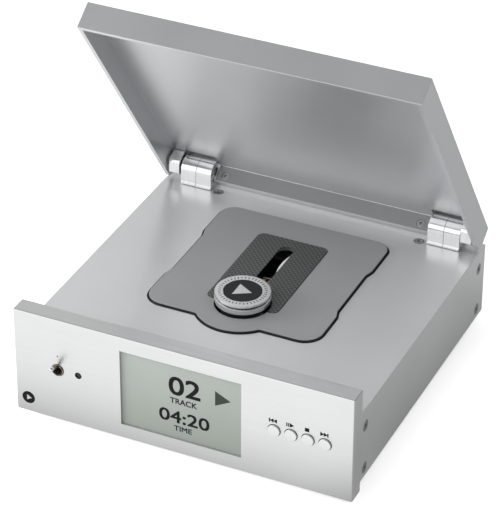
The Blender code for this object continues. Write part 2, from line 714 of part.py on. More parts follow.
def drive_tray():
    """The cast tray under the drive plate, with ears over the dampers and a post for the gear."""
    low = TRAY_FLOOR
    tray = block("drive_tray", (-TRAY_HALF, TRAY_FRONT, low), (TRAY_HALF, TRAY_REAR, TRAY_TOP), GREY)
    inside = cut_block((-TRAY_HALF + TRAY_WALL, TRAY_FRONT + TRAY_WALL, low + TRAY_FLOOR_THICKNESS),
                       (TRAY_HALF - TRAY_WALL, TRAY_REAR - TRAY_WALL, TRAY_TOP + 5.0))
    light = cut_block((-38.0, 100.0, low - 3.0), (14.0, 162.0, low + 5.0))
    cut(tray, inside, light)
    for x, y in DAMPER_SPOTS:
        cut(tray, cut_rod((x, y, low), 1.5 + GAP, 12.0, "Z", 12))
    post_high = GEAR_HIGH + 1.4
    join(tray, rod("post", (GEAR_X, GEAR_Y, (low + post_high) / 2 + 0.5), 1.5, post_high - low - 1.0, STEEL,
                   sides=16))
    return tray


def dampers():
    """Rubber spools between the base plate's studs and the drive tray."""
    profile = [(0.0, 29.7), (6.0, 29.7), (6.0, 27.6), (4.6, 26.6), (4.6, 23.4), (6.0, 22.4), (6.0, 20.0),
               (0.0, 20.0)]
    for number, (x, y) in enumerate(DAMPER_SPOTS, 1):
        turned(f"drive_damper_{number}", (x, y, 0.0), profile, RUBBER, sides=14)


def spindle():
    floor = TRAY_FLOOR + TRAY_FLOOR_THICKNESS + GAP
    motor = [(3.0, 45.0), (11.2, 45.0), (11.8, 44.4), (11.8, floor), (3.0, floor)]
    turned("spindle_motor", (0.0, SPINDLE_Y, 0.0), motor, STEEL, sides=24, ring=True)
    hub = [(0.0, 55.0), (5.6, 55.0), (7.2, 53.9), (7.2, 53.0), (14.4, 53.0), (14.4, 51.0),
           (7.0, 50.0), (7.0, 46.0), (1.5, 46.0), (1.5, floor + 0.5), (0.0, floor + 0.5)]
    turned("turntable_hub", (0.0, SPINDLE_Y, 0.0), hub, BLACK, sides=24)


def puck():
    """The magnetic clamp: a grooved body with an inlaid disc."""
    low = PUCK_BOTTOM
    top = PUCK_TOP
    wide = PUCK_RADIUS
    body = [(0.0, top - 0.9), (11.3, top - 0.9), (11.3, top), (wide - 0.4, top), (wide, top - 0.4),
            (wide, top - 1.5), (wide - 0.9, top - 1.9), (wide - 0.9, top - 2.7), (wide - 0.1, top - 3.2),
            (wide + 0.1, low + 1.9), (wide - 0.2, low + 0.7), (wide - 1.0, low), (8.0, low),
            (8.0, low + 2.1), (0.0, low + 2.1)]
    turned("puck_body", (0.0, SPINDLE_Y, 0.0), body, BRIGHT, sides=32)
    inlay = [(0.0, top - 0.02), (11.0, top - 0.02), (11.0, top - 0.6), (0.0, top - 0.6)]
    turned("puck_inlay", (0.0, SPINDLE_Y, 0.0), inlay, BLACK, sides=32)


def involute_gear(name, teeth, centre, low, high, bore, look, phase):
    """A spur gear; its teeth are thinned by TOOTH_SLACK on each side."""
    pitch = GEAR_MODULE * teeth / 2.0
    base = pitch * math.cos(math.radians(20.0))
    tip = pitch + 0.95 * GEAR_MODULE
    root = pitch - 1.25 * GEAR_MODULE

    def half_angle(radius):
        """Half the tooth's angle at a radius."""
        def involute(at):
            pressure = math.acos(min(1.0, base / at))
            return math.tan(pressure) - pressure
        plain = math.pi / 2.0 / teeth - TOOTH_SLACK / pitch
        return plain + involute(pitch) - involute(max(radius, base))

    outline = []
    for i in range(teeth):
        middle = 2.0 * math.pi * i / teeth + phase
        radii = [root, pitch, tip]
        for radius in radii:
            outline.append((radius, middle - half_angle(radius)))
        for radius in reversed(radii):
            outline.append((radius, middle + half_angle(radius)))
    flat = [(centre[0] + r * math.cos(a), centre[1] + r * math.sin(a)) for r, a in outline]
    gear = outline_plate(name, flat, low, high, look)
    cut(gear, cut_rod((centre[0], centre[1], (low + high) / 2), bore, high - low + 4.0, "Z", 16))
    return gear


def sled():
    """The laser sled, with its bushes, rack, lens actuator and lens, at its innermost place."""
    back = LENS_HOME_Y + 14.0
    front = LENS_HOME_Y - 10.0
    body = block("laser_sled", (-11.5, front, 35.0), (11.5, back, 45.0), BLACK)
    bush = block("bush", (-RAIL_X - 3.4, front + 0.5, 36.6), (-10.0, back - 0.5, 43.4), BLACK)
    shoe = block("shoe", (10.0, front + 6.0, 36.6), (RAIL_X + 2.0, back - 6.0, 43.4), BLACK)
    rack_face = GEAR_X - GEAR_MODULE * GEAR_TEETH / 2.0
    arm = block("arm", (RAIL_X + 1.5, front + 2.0, 35.6), (rack_face - 2.4, back - 2.0, 38.3), BLACK)
    ledge = block("ledge", (10.0, front + 2.0, 35.0), (RAIL_X + 1.9, back - 2.0, 37.6), BLACK)
    join(body, bush, shoe, arm, ledge, rack(rack_face))
    cut(body, cut_rod((-RAIL_X, LENS_HOME_Y, RAIL_Z), RAIL_RADIUS + GAP, 60.0, "Y", 16),
        cut_block((RAIL_X - RAIL_RADIUS - GAP, front - 5.0, RAIL_Z - RAIL_RADIUS - GAP),
                  (RAIL_X + 9.0, back + 5.0, RAIL_Z + RAIL_RADIUS + GAP + 0.0)))
    well = cut_block((-8.0, LENS_HOME_Y - 7.0, 42.0), (8.0, LENS_HOME_Y + 8.0, 48.0))
    cut(body, well)
    actuator = block("lens_actuator", (-3.4, LENS_HOME_Y - 5.0, 42.3), (3.4, LENS_HOME_Y + 5.5, 48.2), GOLD,
                     edge=0.3, segments=1)
    cut(actuator, cut_rod((0.0, LENS_HOME_Y, 48.0), 2.4 + GAP, 3.0, "Z", 20))
    dome = [(0.0, 48.7), (1.3, 48.5), (2.0, 48.1), (2.3, 47.5), (2.3, 46.9), (0.0, 46.9)]
    lens = turned("laser_lens", (0.0, LENS_HOME_Y, 0.0), dome, LENS, sides=20)
    return [body, actuator, lens]


def rack(pitch_line):
    """A straight rack facing the gear, in mesh with it at the sled's home."""
    pitch = math.pi * GEAR_MODULE
    slope = math.tan(math.radians(20.0))
    start, end = RACK_SPAN
    first = int((start - GEAR_Y) / pitch) + 1
    outline = [(pitch_line - 3.2, start), (pitch_line - 1.25, start)]
    index = first
    while GEAR_Y + (index + 1) * pitch < end:
        middle = GEAR_Y + (index + 0.5) * pitch
        half_root = pitch / 4.0 + 1.25 * GEAR_MODULE * slope - TOOTH_SLACK
        half_tip = pitch / 4.0 - 0.95 * GEAR_MODULE * slope - TOOTH_SLACK
        outline += [(pitch_line - 1.25, middle - half_root), (pitch_line + 0.95, middle - half_tip),
                    (pitch_line + 0.95, middle + half_tip), (pitch_line - 1.25, middle + half_root)]
        index += 1
    outline += [(pitch_line - 1.25, end), (pitch_line - 3.2, end)]
    return outline_plate("rack", outline, 36.0, GEAR_HIGH - 0.2, BLACK)


def feed_train():
    # a tooth of the gear lies on the line of centres, in a gap of the rack
    phase = math.pi
    involute_gear("feed_gear", GEAR_TEETH, (GEAR_X, GEAR_Y), GEAR_LOW, GEAR_HIGH, 1.5 + GAP, WHITE, phase)
    pinion_y = GEAR_Y - GEAR_MODULE * (GEAR_TEETH + PINION_TEETH) / 2.0
    pinion_phase = math.pi / 2.0 + math.pi / PINION_TEETH
    involute_gear("motor_pinion", PINION_TEETH, (GEAR_X, pinion_y), GEAR_LOW, GEAR_HIGH, 1.0 + GAP, BRIGHT,
                  pinion_phase)
    low = TRAY_FLOOR + TRAY_FLOOR_THICKNESS + GAP
    case = [(0.0, GEAR_HIGH + 0.8), (1.0, GEAR_HIGH + 0.8), (1.0, 37.4), (9.4, 37.4), (9.8, 37.0),
            (9.8, low), (0.0, low)]
    turned("feed_motor", (GEAR_X, pinion_y, 0.0), case, STEEL, sides=20)


def guide_rails():
    """Two steel rods, joined at the rear by the bar that clamps them in the tray."""
    start = TRAY_FRONT + TRAY_WALL + GAP
    end = TRAY_REAR - TRAY_WALL - GAP
    wide = RAIL_X + 1.9
    bar = block("guide_rails", (-wide, end - 4.0, RAIL_Z - 2.5), (wide, end, RAIL_Z + 2.5), STEEL)
    for x in (-RAIL_X, RAIL_X):
        join(bar, rod("rail", (x, (start + end - 1.0) / 2, RAIL_Z), RAIL_RADIUS, end - 1.0 - start, STEEL, "Y", 16))
    return bar


# ---- controls and display -----------------------------------------------------------------------
def display():
    """The display glass, the module that holds it and the cover that closes the pocket behind."""
    mid = PANEL_MID_Z
    half = WINDOW_WIDTH / 2.0 - GAP
    tall = WINDOW_HEIGHT / 2.0 - GAP
    block("display_glass", (-half, GLASS_DEPTH, mid - tall), (half, 3.4, mid + tall), LCD)
    module = block("display_module", (-46.0, PANEL_SKIN + GAP, mid - 29.0), (46.0, 9.2, mid + 26.0), BOARD)
    cut(module, cut_block((-36.0, 0.0, mid - 24.0), (36.0, 6.6, mid + 24.0)))
    block("display_cover", (-49.0 + GAP, 9.5, mid - 31.2 + GAP), (49.0 - GAP, PANEL_THICKNESS, mid + 27.4 - GAP),
          SILVER)


def control_board():
    """The board behind the buttons, with a small switch for each."""
    board = block("control_board", (51.6, 8.3, 24.0), (94.0, 9.9, 45.0), BOARD)
    for x in BUTTON_X:
        join(board, block("tact", (x - 3.0, 6.6, BUTTON_Z - 3.0), (x + 3.0, 8.6, BUTTON_Z + 3.0), BLACK))


def buttons():
    """Round caps, each kept in by a flange behind the panel's skin."""
    behind = -PANEL_SKIN - GAP
    cap = [(0.0, BUTTON_PROUD), (BUTTON_RADIUS - 0.35, BUTTON_PROUD), (BUTTON_RADIUS, BUTTON_PROUD - 0.35),
           (BUTTON_RADIUS, behind), (4.6, behind), (4.6, behind - 0.8), (1.2, behind - 0.8),
           (1.2, behind - 1.5), (0.0, behind - 1.5)]
    for name, x in zip(BUTTON_NAMES, BUTTON_X):
        turned("button_" + name, (x, 0.0, BUTTON_Z), cap, SILVER, "Y", 20)


def power_switch():
    spot = (SWITCH_X, 0.0, SWITCH_Z)
    inner = [(3.4, 0.6), (3.75, 0.6), (3.75, -PANEL_SKIN - 0.9), (1.9, -PANEL_SKIN - 0.9)]
    turned("switch_bushing", spot, inner, BRIGHT, "Y", 24, ring=True)
    body = block("power_switch", (SWITCH_X - 4.0, 4.9, SWITCH_Z - 6.5), (SWITCH_X + 4.0, 15.5, SWITCH_Z + 6.5),
                 BLACK)
    hollow = cut_block((SWITCH_X - 2.2, 2.0, SWITCH_Z - 4.6), (SWITCH_X + 2.2, 10.4, SWITCH_Z + 4.6))
    cut(body, hollow)
    axis = frame_point("switch_axis", SWITCH_X, SWITCH_PIVOT_Y, SWITCH_Z)
    reach = SWITCH_REACH
    bat = [(0.0, reach + 1.35), (0.8, reach + 1.1), (1.3, reach + 0.3), (1.35, reach - 0.6),
           (0.75, 6.6), (0.75, 1.3), (1.3, 0.8), (1.3, -0.8), (0.9, -1.6), (0.0, -1.6)]
    lever = turned("power_lever", (SWITCH_X, SWITCH_PIVOT_Y, SWITCH_Z), bat, BRIGHT, "Y", 12)
    carry(axis, lever)
    axis.rotation_euler.x = -math.radians(SWITCH_TILT)
    bpy.context.view_layer.update()
    sensor = [(0.0, -0.9), (1.3, -1.0), (1.8, -1.5), (1.8, -PANEL_SKIN - GAP), (2.8, -PANEL_SKIN - GAP),
              (2.8, -7.6), (0.0, -7.6)]
    turned("remote_sensor", (SENSOR_X, 0.0, SWITCH_Z), sensor, BLACK, "Y", 20)


# ---- electronics --------------------------------------------------------------------------------
def electronics():
    top = BOARD_LEVEL + BOARD_THICKNESS
    board = block("main_board", (-BOARD_HALF, BOARD_FRONT, BOARD_LEVEL), (BOARD_HALF, BOARD_REAR - 7.0, top),
                  BOARD)
    for x, y in DAMPER_SPOTS:
        cut(board, cut_rod((x, y, BOARD_LEVEL), 4.6, 8.0, "Z", 16))
    x = SOCKETS["balanced_output"]
    cut(board, cut_block((x - 13.2, 176.0, BOARD_LEVEL - 3.0), (x + 13.2, 200.0, top + 3.0)))
    for i in range(4):
        profile = [(0.0, top + 13.0), (4.4, top + 13.0), (5.0, top + 12.4), (5.0, top - 0.5), (0.0, top - 0.5)]
        join(board, turned("can", (-72.0, 116.0 + 13.0 * i, 0.0), profile, BLACK, sides=12))
    join(board, block("chip", (-9.0, 118.0, top - 0.5), (9.0, 136.0, top + 2.0), BLACK))


front_panel()
case_cover()
corner_posts()
base_plate()
feet()
rear_panel()
sockets()
rear_rail()
hinges()
lid()
drive_plate()
carbon_plate()
slot_guard()
drive_tray()
dampers()
spindle()
puck()
sled()
feed_train()
guide_rails()
display()
control_board()
buttons()
power_switch()
electronics()
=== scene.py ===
import json
import math

import bmesh
import bpy
from mathutils import Matrix, Vector

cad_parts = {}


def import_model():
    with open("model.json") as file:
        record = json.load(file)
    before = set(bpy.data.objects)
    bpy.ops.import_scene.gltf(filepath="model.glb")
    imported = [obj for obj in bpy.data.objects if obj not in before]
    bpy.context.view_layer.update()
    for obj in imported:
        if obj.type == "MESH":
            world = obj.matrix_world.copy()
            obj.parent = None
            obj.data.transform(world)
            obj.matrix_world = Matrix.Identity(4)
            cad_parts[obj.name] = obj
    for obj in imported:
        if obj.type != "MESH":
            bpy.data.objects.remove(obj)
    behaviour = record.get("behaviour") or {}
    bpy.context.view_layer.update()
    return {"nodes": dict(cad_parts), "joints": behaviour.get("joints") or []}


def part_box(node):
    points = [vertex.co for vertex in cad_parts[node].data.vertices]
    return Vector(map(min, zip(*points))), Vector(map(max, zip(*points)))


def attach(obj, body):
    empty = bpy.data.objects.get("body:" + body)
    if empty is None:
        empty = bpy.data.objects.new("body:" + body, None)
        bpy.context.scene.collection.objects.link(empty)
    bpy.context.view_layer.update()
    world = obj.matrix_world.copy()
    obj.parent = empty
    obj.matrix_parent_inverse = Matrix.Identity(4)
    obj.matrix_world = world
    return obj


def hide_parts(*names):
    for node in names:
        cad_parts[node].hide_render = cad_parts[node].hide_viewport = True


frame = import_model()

MM = 0.001
TEXT_SIDES = 6  # resolution of letters and digits
LAYER_STEP = 0.004  # keeps the copies of a letter from lying in one plane
WIDE_FACE = 0.6  # area over outline, in millimetres, above which a face is left flat
SIDES = ((-1, "left"), (1, "right"))

# ---- places taken from the frame ----
# Every place below is in millimetres from the front panel: x from its middle, y from its front face
# towards the rear, z from its bottom edge.  SHIFT takes such a place to the shared frame.
PANEL_CORNER = Vector(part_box("front_panel")[0]) / MM
SHIFT = Vector((0.0, PANEL_CORNER.y, PANEL_CORNER.z))


class Span:
    """A CAD node's box."""

    def __init__(self, node):
        low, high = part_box(node)
        self.low = Vector(low) / MM - SHIFT
        self.high = Vector(high) / MM - SHIFT
        self.mid = (self.low + self.high) / 2.0
        self.size = self.high - self.low


PANEL = Span("front_panel")
COVER = Span("case_cover")
DRIVE = Span("drive_plate")
CARBON_PLATE = Span("carbon_plate")
PUCK = Span("puck_body")
HUB = Span("turntable_hub")
GLASS = Span("display_glass")
HINGE_JOINT = next(joint for joint in frame["joints"] if joint["name"] == "lid_hinge")
TOGGLE_JOINT = next(joint for joint in frame["joints"] if joint["name"] == "power_flip")
HINGE = Vector(HINGE_JOINT["pos_m"]) / MM - SHIFT
PIVOT = Vector(TOGGLE_JOINT["pos_m"]) / MM - SHIFT
LID_ANGLE = -math.radians(HINGE_JOINT["range_deg"][0])  # from closed to rest
SPINDLE = Vector((0.0, HUB.mid.y, HUB.high.z))


# ---- mesh helpers, in millimetres ----
def link(name, mesh):
    made = bpy.data.objects.new(name, mesh)
    bpy.context.scene.collection.objects.link(made)
    return made


def from_bmesh(name, shape):
    """An object of a shape drawn in millimetres from the front panel."""
    mesh = bpy.data.meshes.new(name)
    bmesh.ops.translate(shape, vec=SHIFT, verts=shape.verts)
    bmesh.ops.scale(shape, vec=(MM, MM, MM), verts=shape.verts)
    bmesh.ops.recalc_face_normals(shape, faces=shape.faces)
    shape.to_mesh(mesh)
    shape.free()
    return link(name, mesh)


def box(name, low, high):
    """A box between two corners."""
    shape = bmesh.new()
    bmesh.ops.create_cube(shape, size=1.0)
    size = Vector(high) - Vector(low)
    bmesh.ops.scale(shape, vec=size, verts=shape.verts)
    bmesh.ops.translate(shape, vec=(Vector(low) + Vector(high)) / 2.0, verts=shape.verts)
    return from_bmesh(name, shape)


AXES = {"Z": Matrix.Identity(4),
        "-Z": Matrix.Rotation(math.pi, 4, "X"),
        "Y": Matrix.Rotation(math.radians(90.0), 4, "X"),
        "X": Matrix.Rotation(math.radians(90.0), 4, "Y"),
        "-X": Matrix.Rotation(math.radians(-90.0), 4, "Y")}
OUTWARD = {-1: "-X", 1: "X"}


def placed_on(shape, centre, axis):
    """Stands a shape drawn along Z on a centre, along an axis."""
    bmesh.ops.transform(shape, matrix=Matrix.Translation(Vector(centre)) @ AXES[axis], verts=shape.verts)
    return shape


def turned(name, centre, profile, axis="Z", steps=64):
    """A profile of (radius, height) points turned about an axis. A closed profile makes a ring."""
    shape = bmesh.new()
    rings = []
    for radius, height in profile:
        if radius < 1e-6:
            rings.append([shape.verts.new((0.0, 0.0, height))])
            continue
        ring = []
        for i in range(steps):
            angle = 2.0 * math.pi * i / steps
            ring.append(shape.verts.new((radius * math.cos(angle), radius * math.sin(angle), height)))
        rings.append(ring)
    pairs = list(zip(rings, rings[1:]))
    if len(rings[0]) > 1 and len(rings[-1]) > 1:
        pairs.append((rings[-1], rings[0]))
    for first, second in pairs:
        for i in range(steps):
            k = (i + 1) % steps
            corners = [first[i % len(first)], first[k % len(first)], second[k % len(second)],
                       second[i % len(second)]]
            unique = list(dict.fromkeys(corners))
            if len(unique) > 2:
                shape.faces.new(unique)
    return from_bmesh(name, placed_on(shape, centre, axis))


def round_tool(centre, radius, depth, axis, steps):
    """A round cutter that reaches to a depth on both sides of its centre."""
    profile = [(0.0, depth), (radius, depth), (radius, -depth), (0.0, -depth)]
    return turned("tool", centre, profile, axis, steps)


def prism(bottom, top):
    """A closed shape between two outlines of as many points."""
    shape = bmesh.new()
    low = [shape.verts.new(corner) for corner in bottom]
    high = [shape.verts.new(corner) for corner in top]
    shape.faces.new(low)
    shape.faces.new(high)
    count = len(low)
    for i in range(count):
        k = (i + 1) % count
        shape.faces.new((low[i], low[k], high[k], high[i]))
    return shape


def plate(name, outline, low, high, axis="Z"):
    """An outline extruded between two levels: x, y for axis Z; y, z for axis X; x, z for axis Y."""
    def corner(u, v, level):
        return {"Z": (u, v, level), "X": (level, u, v), "Y": (u, level, v)}[axis]

    return from_bmesh(name, prism([corner(u, v, low) for u, v in outline],
                                  [corner(u, v, high) for u, v in outline]))


def arc(centre, radius, start, end, steps):
    """Points along an arc, angles in degrees."""
    found = []
    for i in range(steps + 1):
        angle = math.radians(start + (end - start) * i / steps)
        found.append((centre[0] + radius * math.cos(angle), centre[1] + radius * math.sin(angle)))
    return found


def rounded(corners, steps=10):
    """A closed outline from (u, v, radius) corners."""
    found = []
    count = len(corners)
    for i in range(count):
        u, v, radius = corners[i]
        here = Vector((u, v))
        if not radius:
            found.append((u, v))
            continue
        before = (Vector(corners[i - 1][:2]) - here).normalized()
        after = (Vector(corners[(i + 1) % count][:2]) - here).normalized()
        half = before.angle(after) / 2.0
        reach = radius / math.tan(half)
        centre = here + (before + after).normalized() * (radius / math.sin(half))
        first = here + before * reach - centre
        last = here + after * reach - centre
        sweep = -first.angle_signed(last)
        for k in range(steps + 1):
            turn = sweep * k / steps
            found.append((centre.x + first.x * math.cos(turn) - first.y * math.sin(turn),
                          centre.y + first.x * math.sin(turn) + first.y * math.cos(turn)))
    return found


def grown(corners, extra):
    """Counter-clockwise (u, v, radius) corners moved outwards by extra."""
    found = []
    count = len(corners)
    for i in range(count):
        here = Vector(corners[i][:2])
        before = (here - Vector(corners[i - 1][:2])).normalized()
        after = (Vector(corners[(i + 1) % count][:2]) - here).normalized()
        out_before = Vector((before.y, -before.x))
        shift = (out_before + Vector((after.y, -after.x))).normalized()
        shift *= extra / shift.dot(out_before)
        bend = before.x * after.y - before.y * after.x
        radius = corners[i][2] + (extra if bend > 0 else -extra)
        found.append((here.x + shift.x, here.y + shift.y, max(radius, 0.3)))
    return found


def applied(piece):
    """The piece with its modifiers made part of its mesh."""
    bpy.context.view_layer.update()
    reader = bpy.context.evaluated_depsgraph_get()
    mesh = bpy.data.meshes.new_from_object(piece.evaluated_get(reader))
    old = piece.data
    piece.modifiers.clear()
    piece.data = mesh
    bpy.data.meshes.remove(old)
    return piece


def combine(piece, operation, tools):
    for tool in tools:
        step = piece.modifiers.new("step", "BOOLEAN")
        step.operation = operation
        step.solver = "EXACT"
        step.object = tool
    applied(piece)
    for tool in tools:
        mesh = tool.data
        bpy.data.objects.remove(tool, do_unlink=True)
        bpy.data.meshes.remove(mesh)
    return piece


def cut(piece, *tools):
    return combine(piece, "DIFFERENCE", tools)


def join(piece, *tools):
    return combine(piece, "UNION", tools)


def soften(piece, width, segments=3, angle=30.0):
    """Rounds the sharp edges of a piece."""
    round_off = piece.modifiers.new("edges", "BEVEL")
    round_off.width = width * MM
    round_off.segments = segments
    round_off.limit_method = "ANGLE"
    round_off.angle_limit = math.radians(angle)
    round_off.harden_normals = True
    piece.data.shade_smooth()
    return applied(piece)


def shade(piece, angle=35.0):
    piece.data.shade_smooth()
    piece.data.set_sharp_from_angle(angle=math.radians(angle))
    return piece


def crisp(piece):
    """Shades wide flat faces flat, and leans the shading of the rest towards its larger faces."""
    mesh = piece.data
    stored = mesh.attributes.get("custom_normal")
    if stored:
        mesh.attributes.remove(stored)
    for face in mesh.polygons:
        corners = [mesh.vertices[index].co for index in face.vertices]
        around = sum((corners[i] - corners[i - 1]).length for i in range(len(corners)))
        if face.area / around > WIDE_FACE * MM:
            face.use_smooth = False
    lean = piece.modifiers.new("lean", "WEIGHTED_NORMAL")
    lean.keep_sharp = True
    applied(piece)


def finish(piece, look, body, slot, *nodes):
    """Gives a piece its material and its body, and hides the CAD nodes that it stands for. The slot is not
    used.
    """
    crisp(piece)
    piece.data.materials.clear()
    piece.data.materials.append(look)
    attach(piece, body)
    if nodes:
        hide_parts(*nodes)
    return piece


def moved(piece, matrix):
    """Applies a matrix, in millimetres from the front panel, to a piece's mesh."""
    metres = Matrix.Translation(SHIFT) @ matrix @ Matrix.Translation(-SHIFT)
    metres.translation = metres.translation * MM
    piece.data.transform(metres)
    piece.data.update()
    return piece


OPEN_LID = Matrix.Translation(HINGE) @ Matrix.Rotation(-LID_ANGLE, 4, "X") @ Matrix.Translation(-HINGE)


# ---- materials ----
RELIEF = 0.0001  # metres from the deepest to the highest point of a bump


class Nodes:
    """A node tree with short calls for its nodes."""

    def __init__(self, tree):
        self.tree = tree

    def node(self, kind, **values):
        made = self.tree.nodes.new("ShaderNode" + kind)
        for key, value in values.items():
            setattr(made, key, value)
        return made

    def join(self, source, target):
        self.tree.links.new(source, target)

    def feed(self, socket, value):
        """Links a node's output to a socket, or sets the socket to a number or a colour."""
        if isinstance(value, bpy.types.NodeSocket):
            self.join(value, socket)
        elif isinstance(value, tuple):
            socket.default_value = (*value, 1.0)
        else:
            socket.default_value = value

    def parts(self, source):
        """The X, Y and Z outputs of a vector."""
        split = self.node("SeparateXYZ")
        self.join(source, split.inputs["Vector"])
        return split.outputs

    def spread(self, source, low, high, low_in=0.3, high_in=0.7):
        """Maps low_in to low and high_in to high."""
        made = self.node("MapRange")
        made.inputs["From Min"].default_value = low_in
        made.inputs["From Max"].default_value = high_in
        made.inputs["To Min"].default_value = low
        made.inputs["To Max"].default_value = high
        self.join(source, made.inputs["Value"])
        return made.outputs["Result"]

    def math(self, operation, first, second=0.0, third=0.0):
        made = self.node("Math", operation=operation)
        for socket, value in zip(made.inputs, (first, second, third)):
            self.feed(socket, value)
        return made.outputs["Value"]

    def mix(self, factor, first, second, blend="MIX"):
        made = self.node("Mix", data_type="RGBA", blend_type=blend)
        self.feed(made.inputs["Factor"], factor)
        self.feed(made.inputs[6], first)
        self.feed(made.inputs[7], second)
        return made.outputs[2]


class Look(Nodes):
    """A Principled material."""

    def __init__(self, name, color, roughness, metallic=0.0, **values):
        self.material = bpy.data.materials.new(name)
        self.material.use_nodes = True
        super().__init__(self.material.node_tree)
        self.shader = self.tree.nodes["Principled BSDF"]
        self.shader.inputs["Base Color"].default_value = (*color, 1.0)
        self.shader.inputs["Roughness"].default_value = roughness
        self.shader.inputs["Metallic"].default_value = metallic
        for name_of_value, value in values.items():
            self.shader.inputs[name_of_value.replace("_", " ")].default_value = value
        self.coordinates = self.node("TexCoord").outputs["Object"]

    def stretched(self, scale):
        """Object coordinates scaled by a different amount on each axis."""
        mapping = self.node("Mapping")
        mapping.inputs["Scale"].default_value = scale
        self.join(self.coordinates, mapping.inputs["Vector"])
        return mapping.outputs["Vector"]

    def noise(self, scale, detail, stretch=(1, 1, 1), roughness=0.5):
        made = self.node("TexNoise")
        made.inputs["Scale"].default_value = scale
        made.inputs["Detail"].default_value = detail
        made.inputs["Roughness"].default_value = roughness
        self.join(self.stretched(stretch), made.inputs["Vector"])
        return made.outputs["Fac"]

    def bump(self, height, strength):
        made = self.node("Bump")
        made.inputs["Strength"].default_value = strength
        made.inputs["Distance"].default_value = RELIEF
        self.join(height, made.inputs["Height"])
        self.join(made.outputs["Normal"], self.shader.inputs["Normal"])

    def color(self, source):
        self.join(source, self.shader.inputs["Base Color"])

    def rough(self, source):
        self.join(source, self.shader.inputs["Roughness"])


def brushed(name, color, dark, roughness, stretch, strength=0.05):
    """Metal with fine lines along the axis that stretch leaves small."""
    look = Look(name, color, roughness, 1.0)
    fine = look.noise(1.0, 4.0, stretch, 0.6)
    broad = look.noise(40.0, 2.0)
    both = look.math("ADD", look.math("MULTIPLY", fine, 0.8), look.math("MULTIPLY", broad, 0.2))
    look.color(look.mix(look.spread(both, 0.0, 1.0, 0.35, 0.65), dark, color))
    look.rough(look.spread(both, roughness + 0.05, roughness - 0.05, 0.35, 0.65))
    look.bump(fine, strength)
    return look.material


def satin(name, color, dark, roughness, grain=2600.0, strength=0.04, metallic=1.0):
    """Bead-blasted, polished or fine matt metal with a faint cloudiness."""
    look = Look(name, color, roughness, metallic)
    fine = look.noise(grain, 2.0)
    broad = look.noise(18.0, 3.0)
    look.color(look.mix(look.spread(broad, 0.0, 1.0), dark, color))
    look.rough(look.spread(broad, roughness - 0.02, roughness + 0.03))
    look.bump(fine, strength)
    return look.material


def plastic(name, color, dark, roughness, grain=1800.0, strength=0.08, **sockets):
    """Moulded plastic, rubber, print or lacquer with a fine grain."""
    look = Look(name, color, roughness, 0.0, **sockets)
    fine = look.noise(grain, 2.0)
    broad = look.noise(60.0, 2.0)
    look.color(look.mix(look.spread(broad, 0.0, 1.0), dark, color))
    look.rough(look.spread(fine, roughness - 0.05, roughness + 0.08))
    look.bump(fine, strength)
    return look.material


WEAVE_STEP = 3.2 * MM  # between crossings, measured along X + Y
# the display's colour low down and high up: painted shade at its bottom, painted light along its top
LCD_PAINTED_SHADE_LOW = (0.28, 0.315, 0.28)
LCD_PAINTED_LIGHT_HIGH = (0.38, 0.415, 0.38)
LCD_SHADE = (0.25, 0.285, 0.25)
PANEL_METAL = brushed("brushed_panel", (0.83, 0.835, 0.835), (0.80, 0.805, 0.805), 0.36,
                      (25.0, 1200.0, 3200.0), 0.02)
CASE_METAL = satin("satin_case", (0.74, 0.75, 0.755), (0.71, 0.72, 0.725), 0.30, metallic=0.65)
LID_METAL = satin("satin_lid", (0.715, 0.725, 0.735), (0.69, 0.70, 0.71), 0.35, metallic=0.85)
HINGE_METAL = brushed("turned_hinge", (0.92, 0.925, 0.93), (0.86, 0.865, 0.87), 0.16,
                      (900.0, 120.0, 120.0), 0.02)
BUTTON_METAL = satin("button_face", (0.86, 0.865, 0.87), (0.82, 0.825, 0.83), 0.3, 2600.0, 0.03)
# polished metal painted dark brown: a painted dark reflection on the bushing and the lever
BUSHING_PAINTED_REFLECTION = brushed("bushing_painted_dark_reflection", (0.34, 0.30, 0.26), (0.07, 0.055, 0.045), 0.25,
                        (900.0, 900.0, 900.0))
PUCK_METAL = satin("bright_clamp", (0.90, 0.905, 0.91), (0.86, 0.865, 0.87), 0.09, 3000.0, 0.01)
DRIVE_METAL = satin("matt_drive_plate", (0.35, 0.355, 0.36), (0.33, 0.335, 0.34), 0.55, 2600.0, 0.05, 0.35)
ZINC = satin("zinc_plate", (0.40, 0.405, 0.41), (0.32, 0.325, 0.33), 0.35, 2000.0, 0.03)
# the lid's own aluminium painted dark grey inside its rear wall: painted shade
REAR_WALL_PAINTED_SHADE = satin("grey_strip_painted_shade", (0.34, 0.34, 0.342), (0.30, 0.30, 0.302), 0.4)
COPPER = satin("copper_winding", (0.70, 0.36, 0.20), (0.60, 0.30, 0.16), 0.35, 2000.0, 0.03)
GOLD = satin("gold_plate", (0.85, 0.62, 0.28), (0.78, 0.55, 0.22), 0.22, 2000.0, 0.02)
BLACK = plastic("black_plastic", (0.022, 0.022, 0.023), (0.016, 0.016, 0.017), 0.45)
RUBBER = plastic("black_rubber", (0.028, 0.028, 0.028), (0.02, 0.02, 0.02), 0.78, 900.0, 0.15)
NYLON = plastic("white_nylon", (0.80, 0.80, 0.77), (0.74, 0.74, 0.71), 0.5)
BOARD = plastic("green_board", (0.022, 0.14, 0.06), (0.015, 0.10, 0.045), 0.4, 500.0, 0.1)
WELL = plastic("dark_well", (0.030, 0.024, 0.020), (0.024, 0.019, 0.016), 0.5)
SENSOR_LOOK = plastic("sensor_plastic", (0.012, 0.010, 0.012), (0.009, 0.008, 0.009), 0.12, 900.0, 0.02)
PUCK_DISC = plastic("clamp_disc", (0.018, 0.018, 0.019), (0.014, 0.014, 0.015), 0.4, 900.0, 0.02,
                    Specular_IOR_Level=0.2)
PRINT = plastic("black_print", (0.010, 0.010, 0.011), (0.008, 0.008, 0.009), 0.6,
                Specular_IOR_Level=0.12)


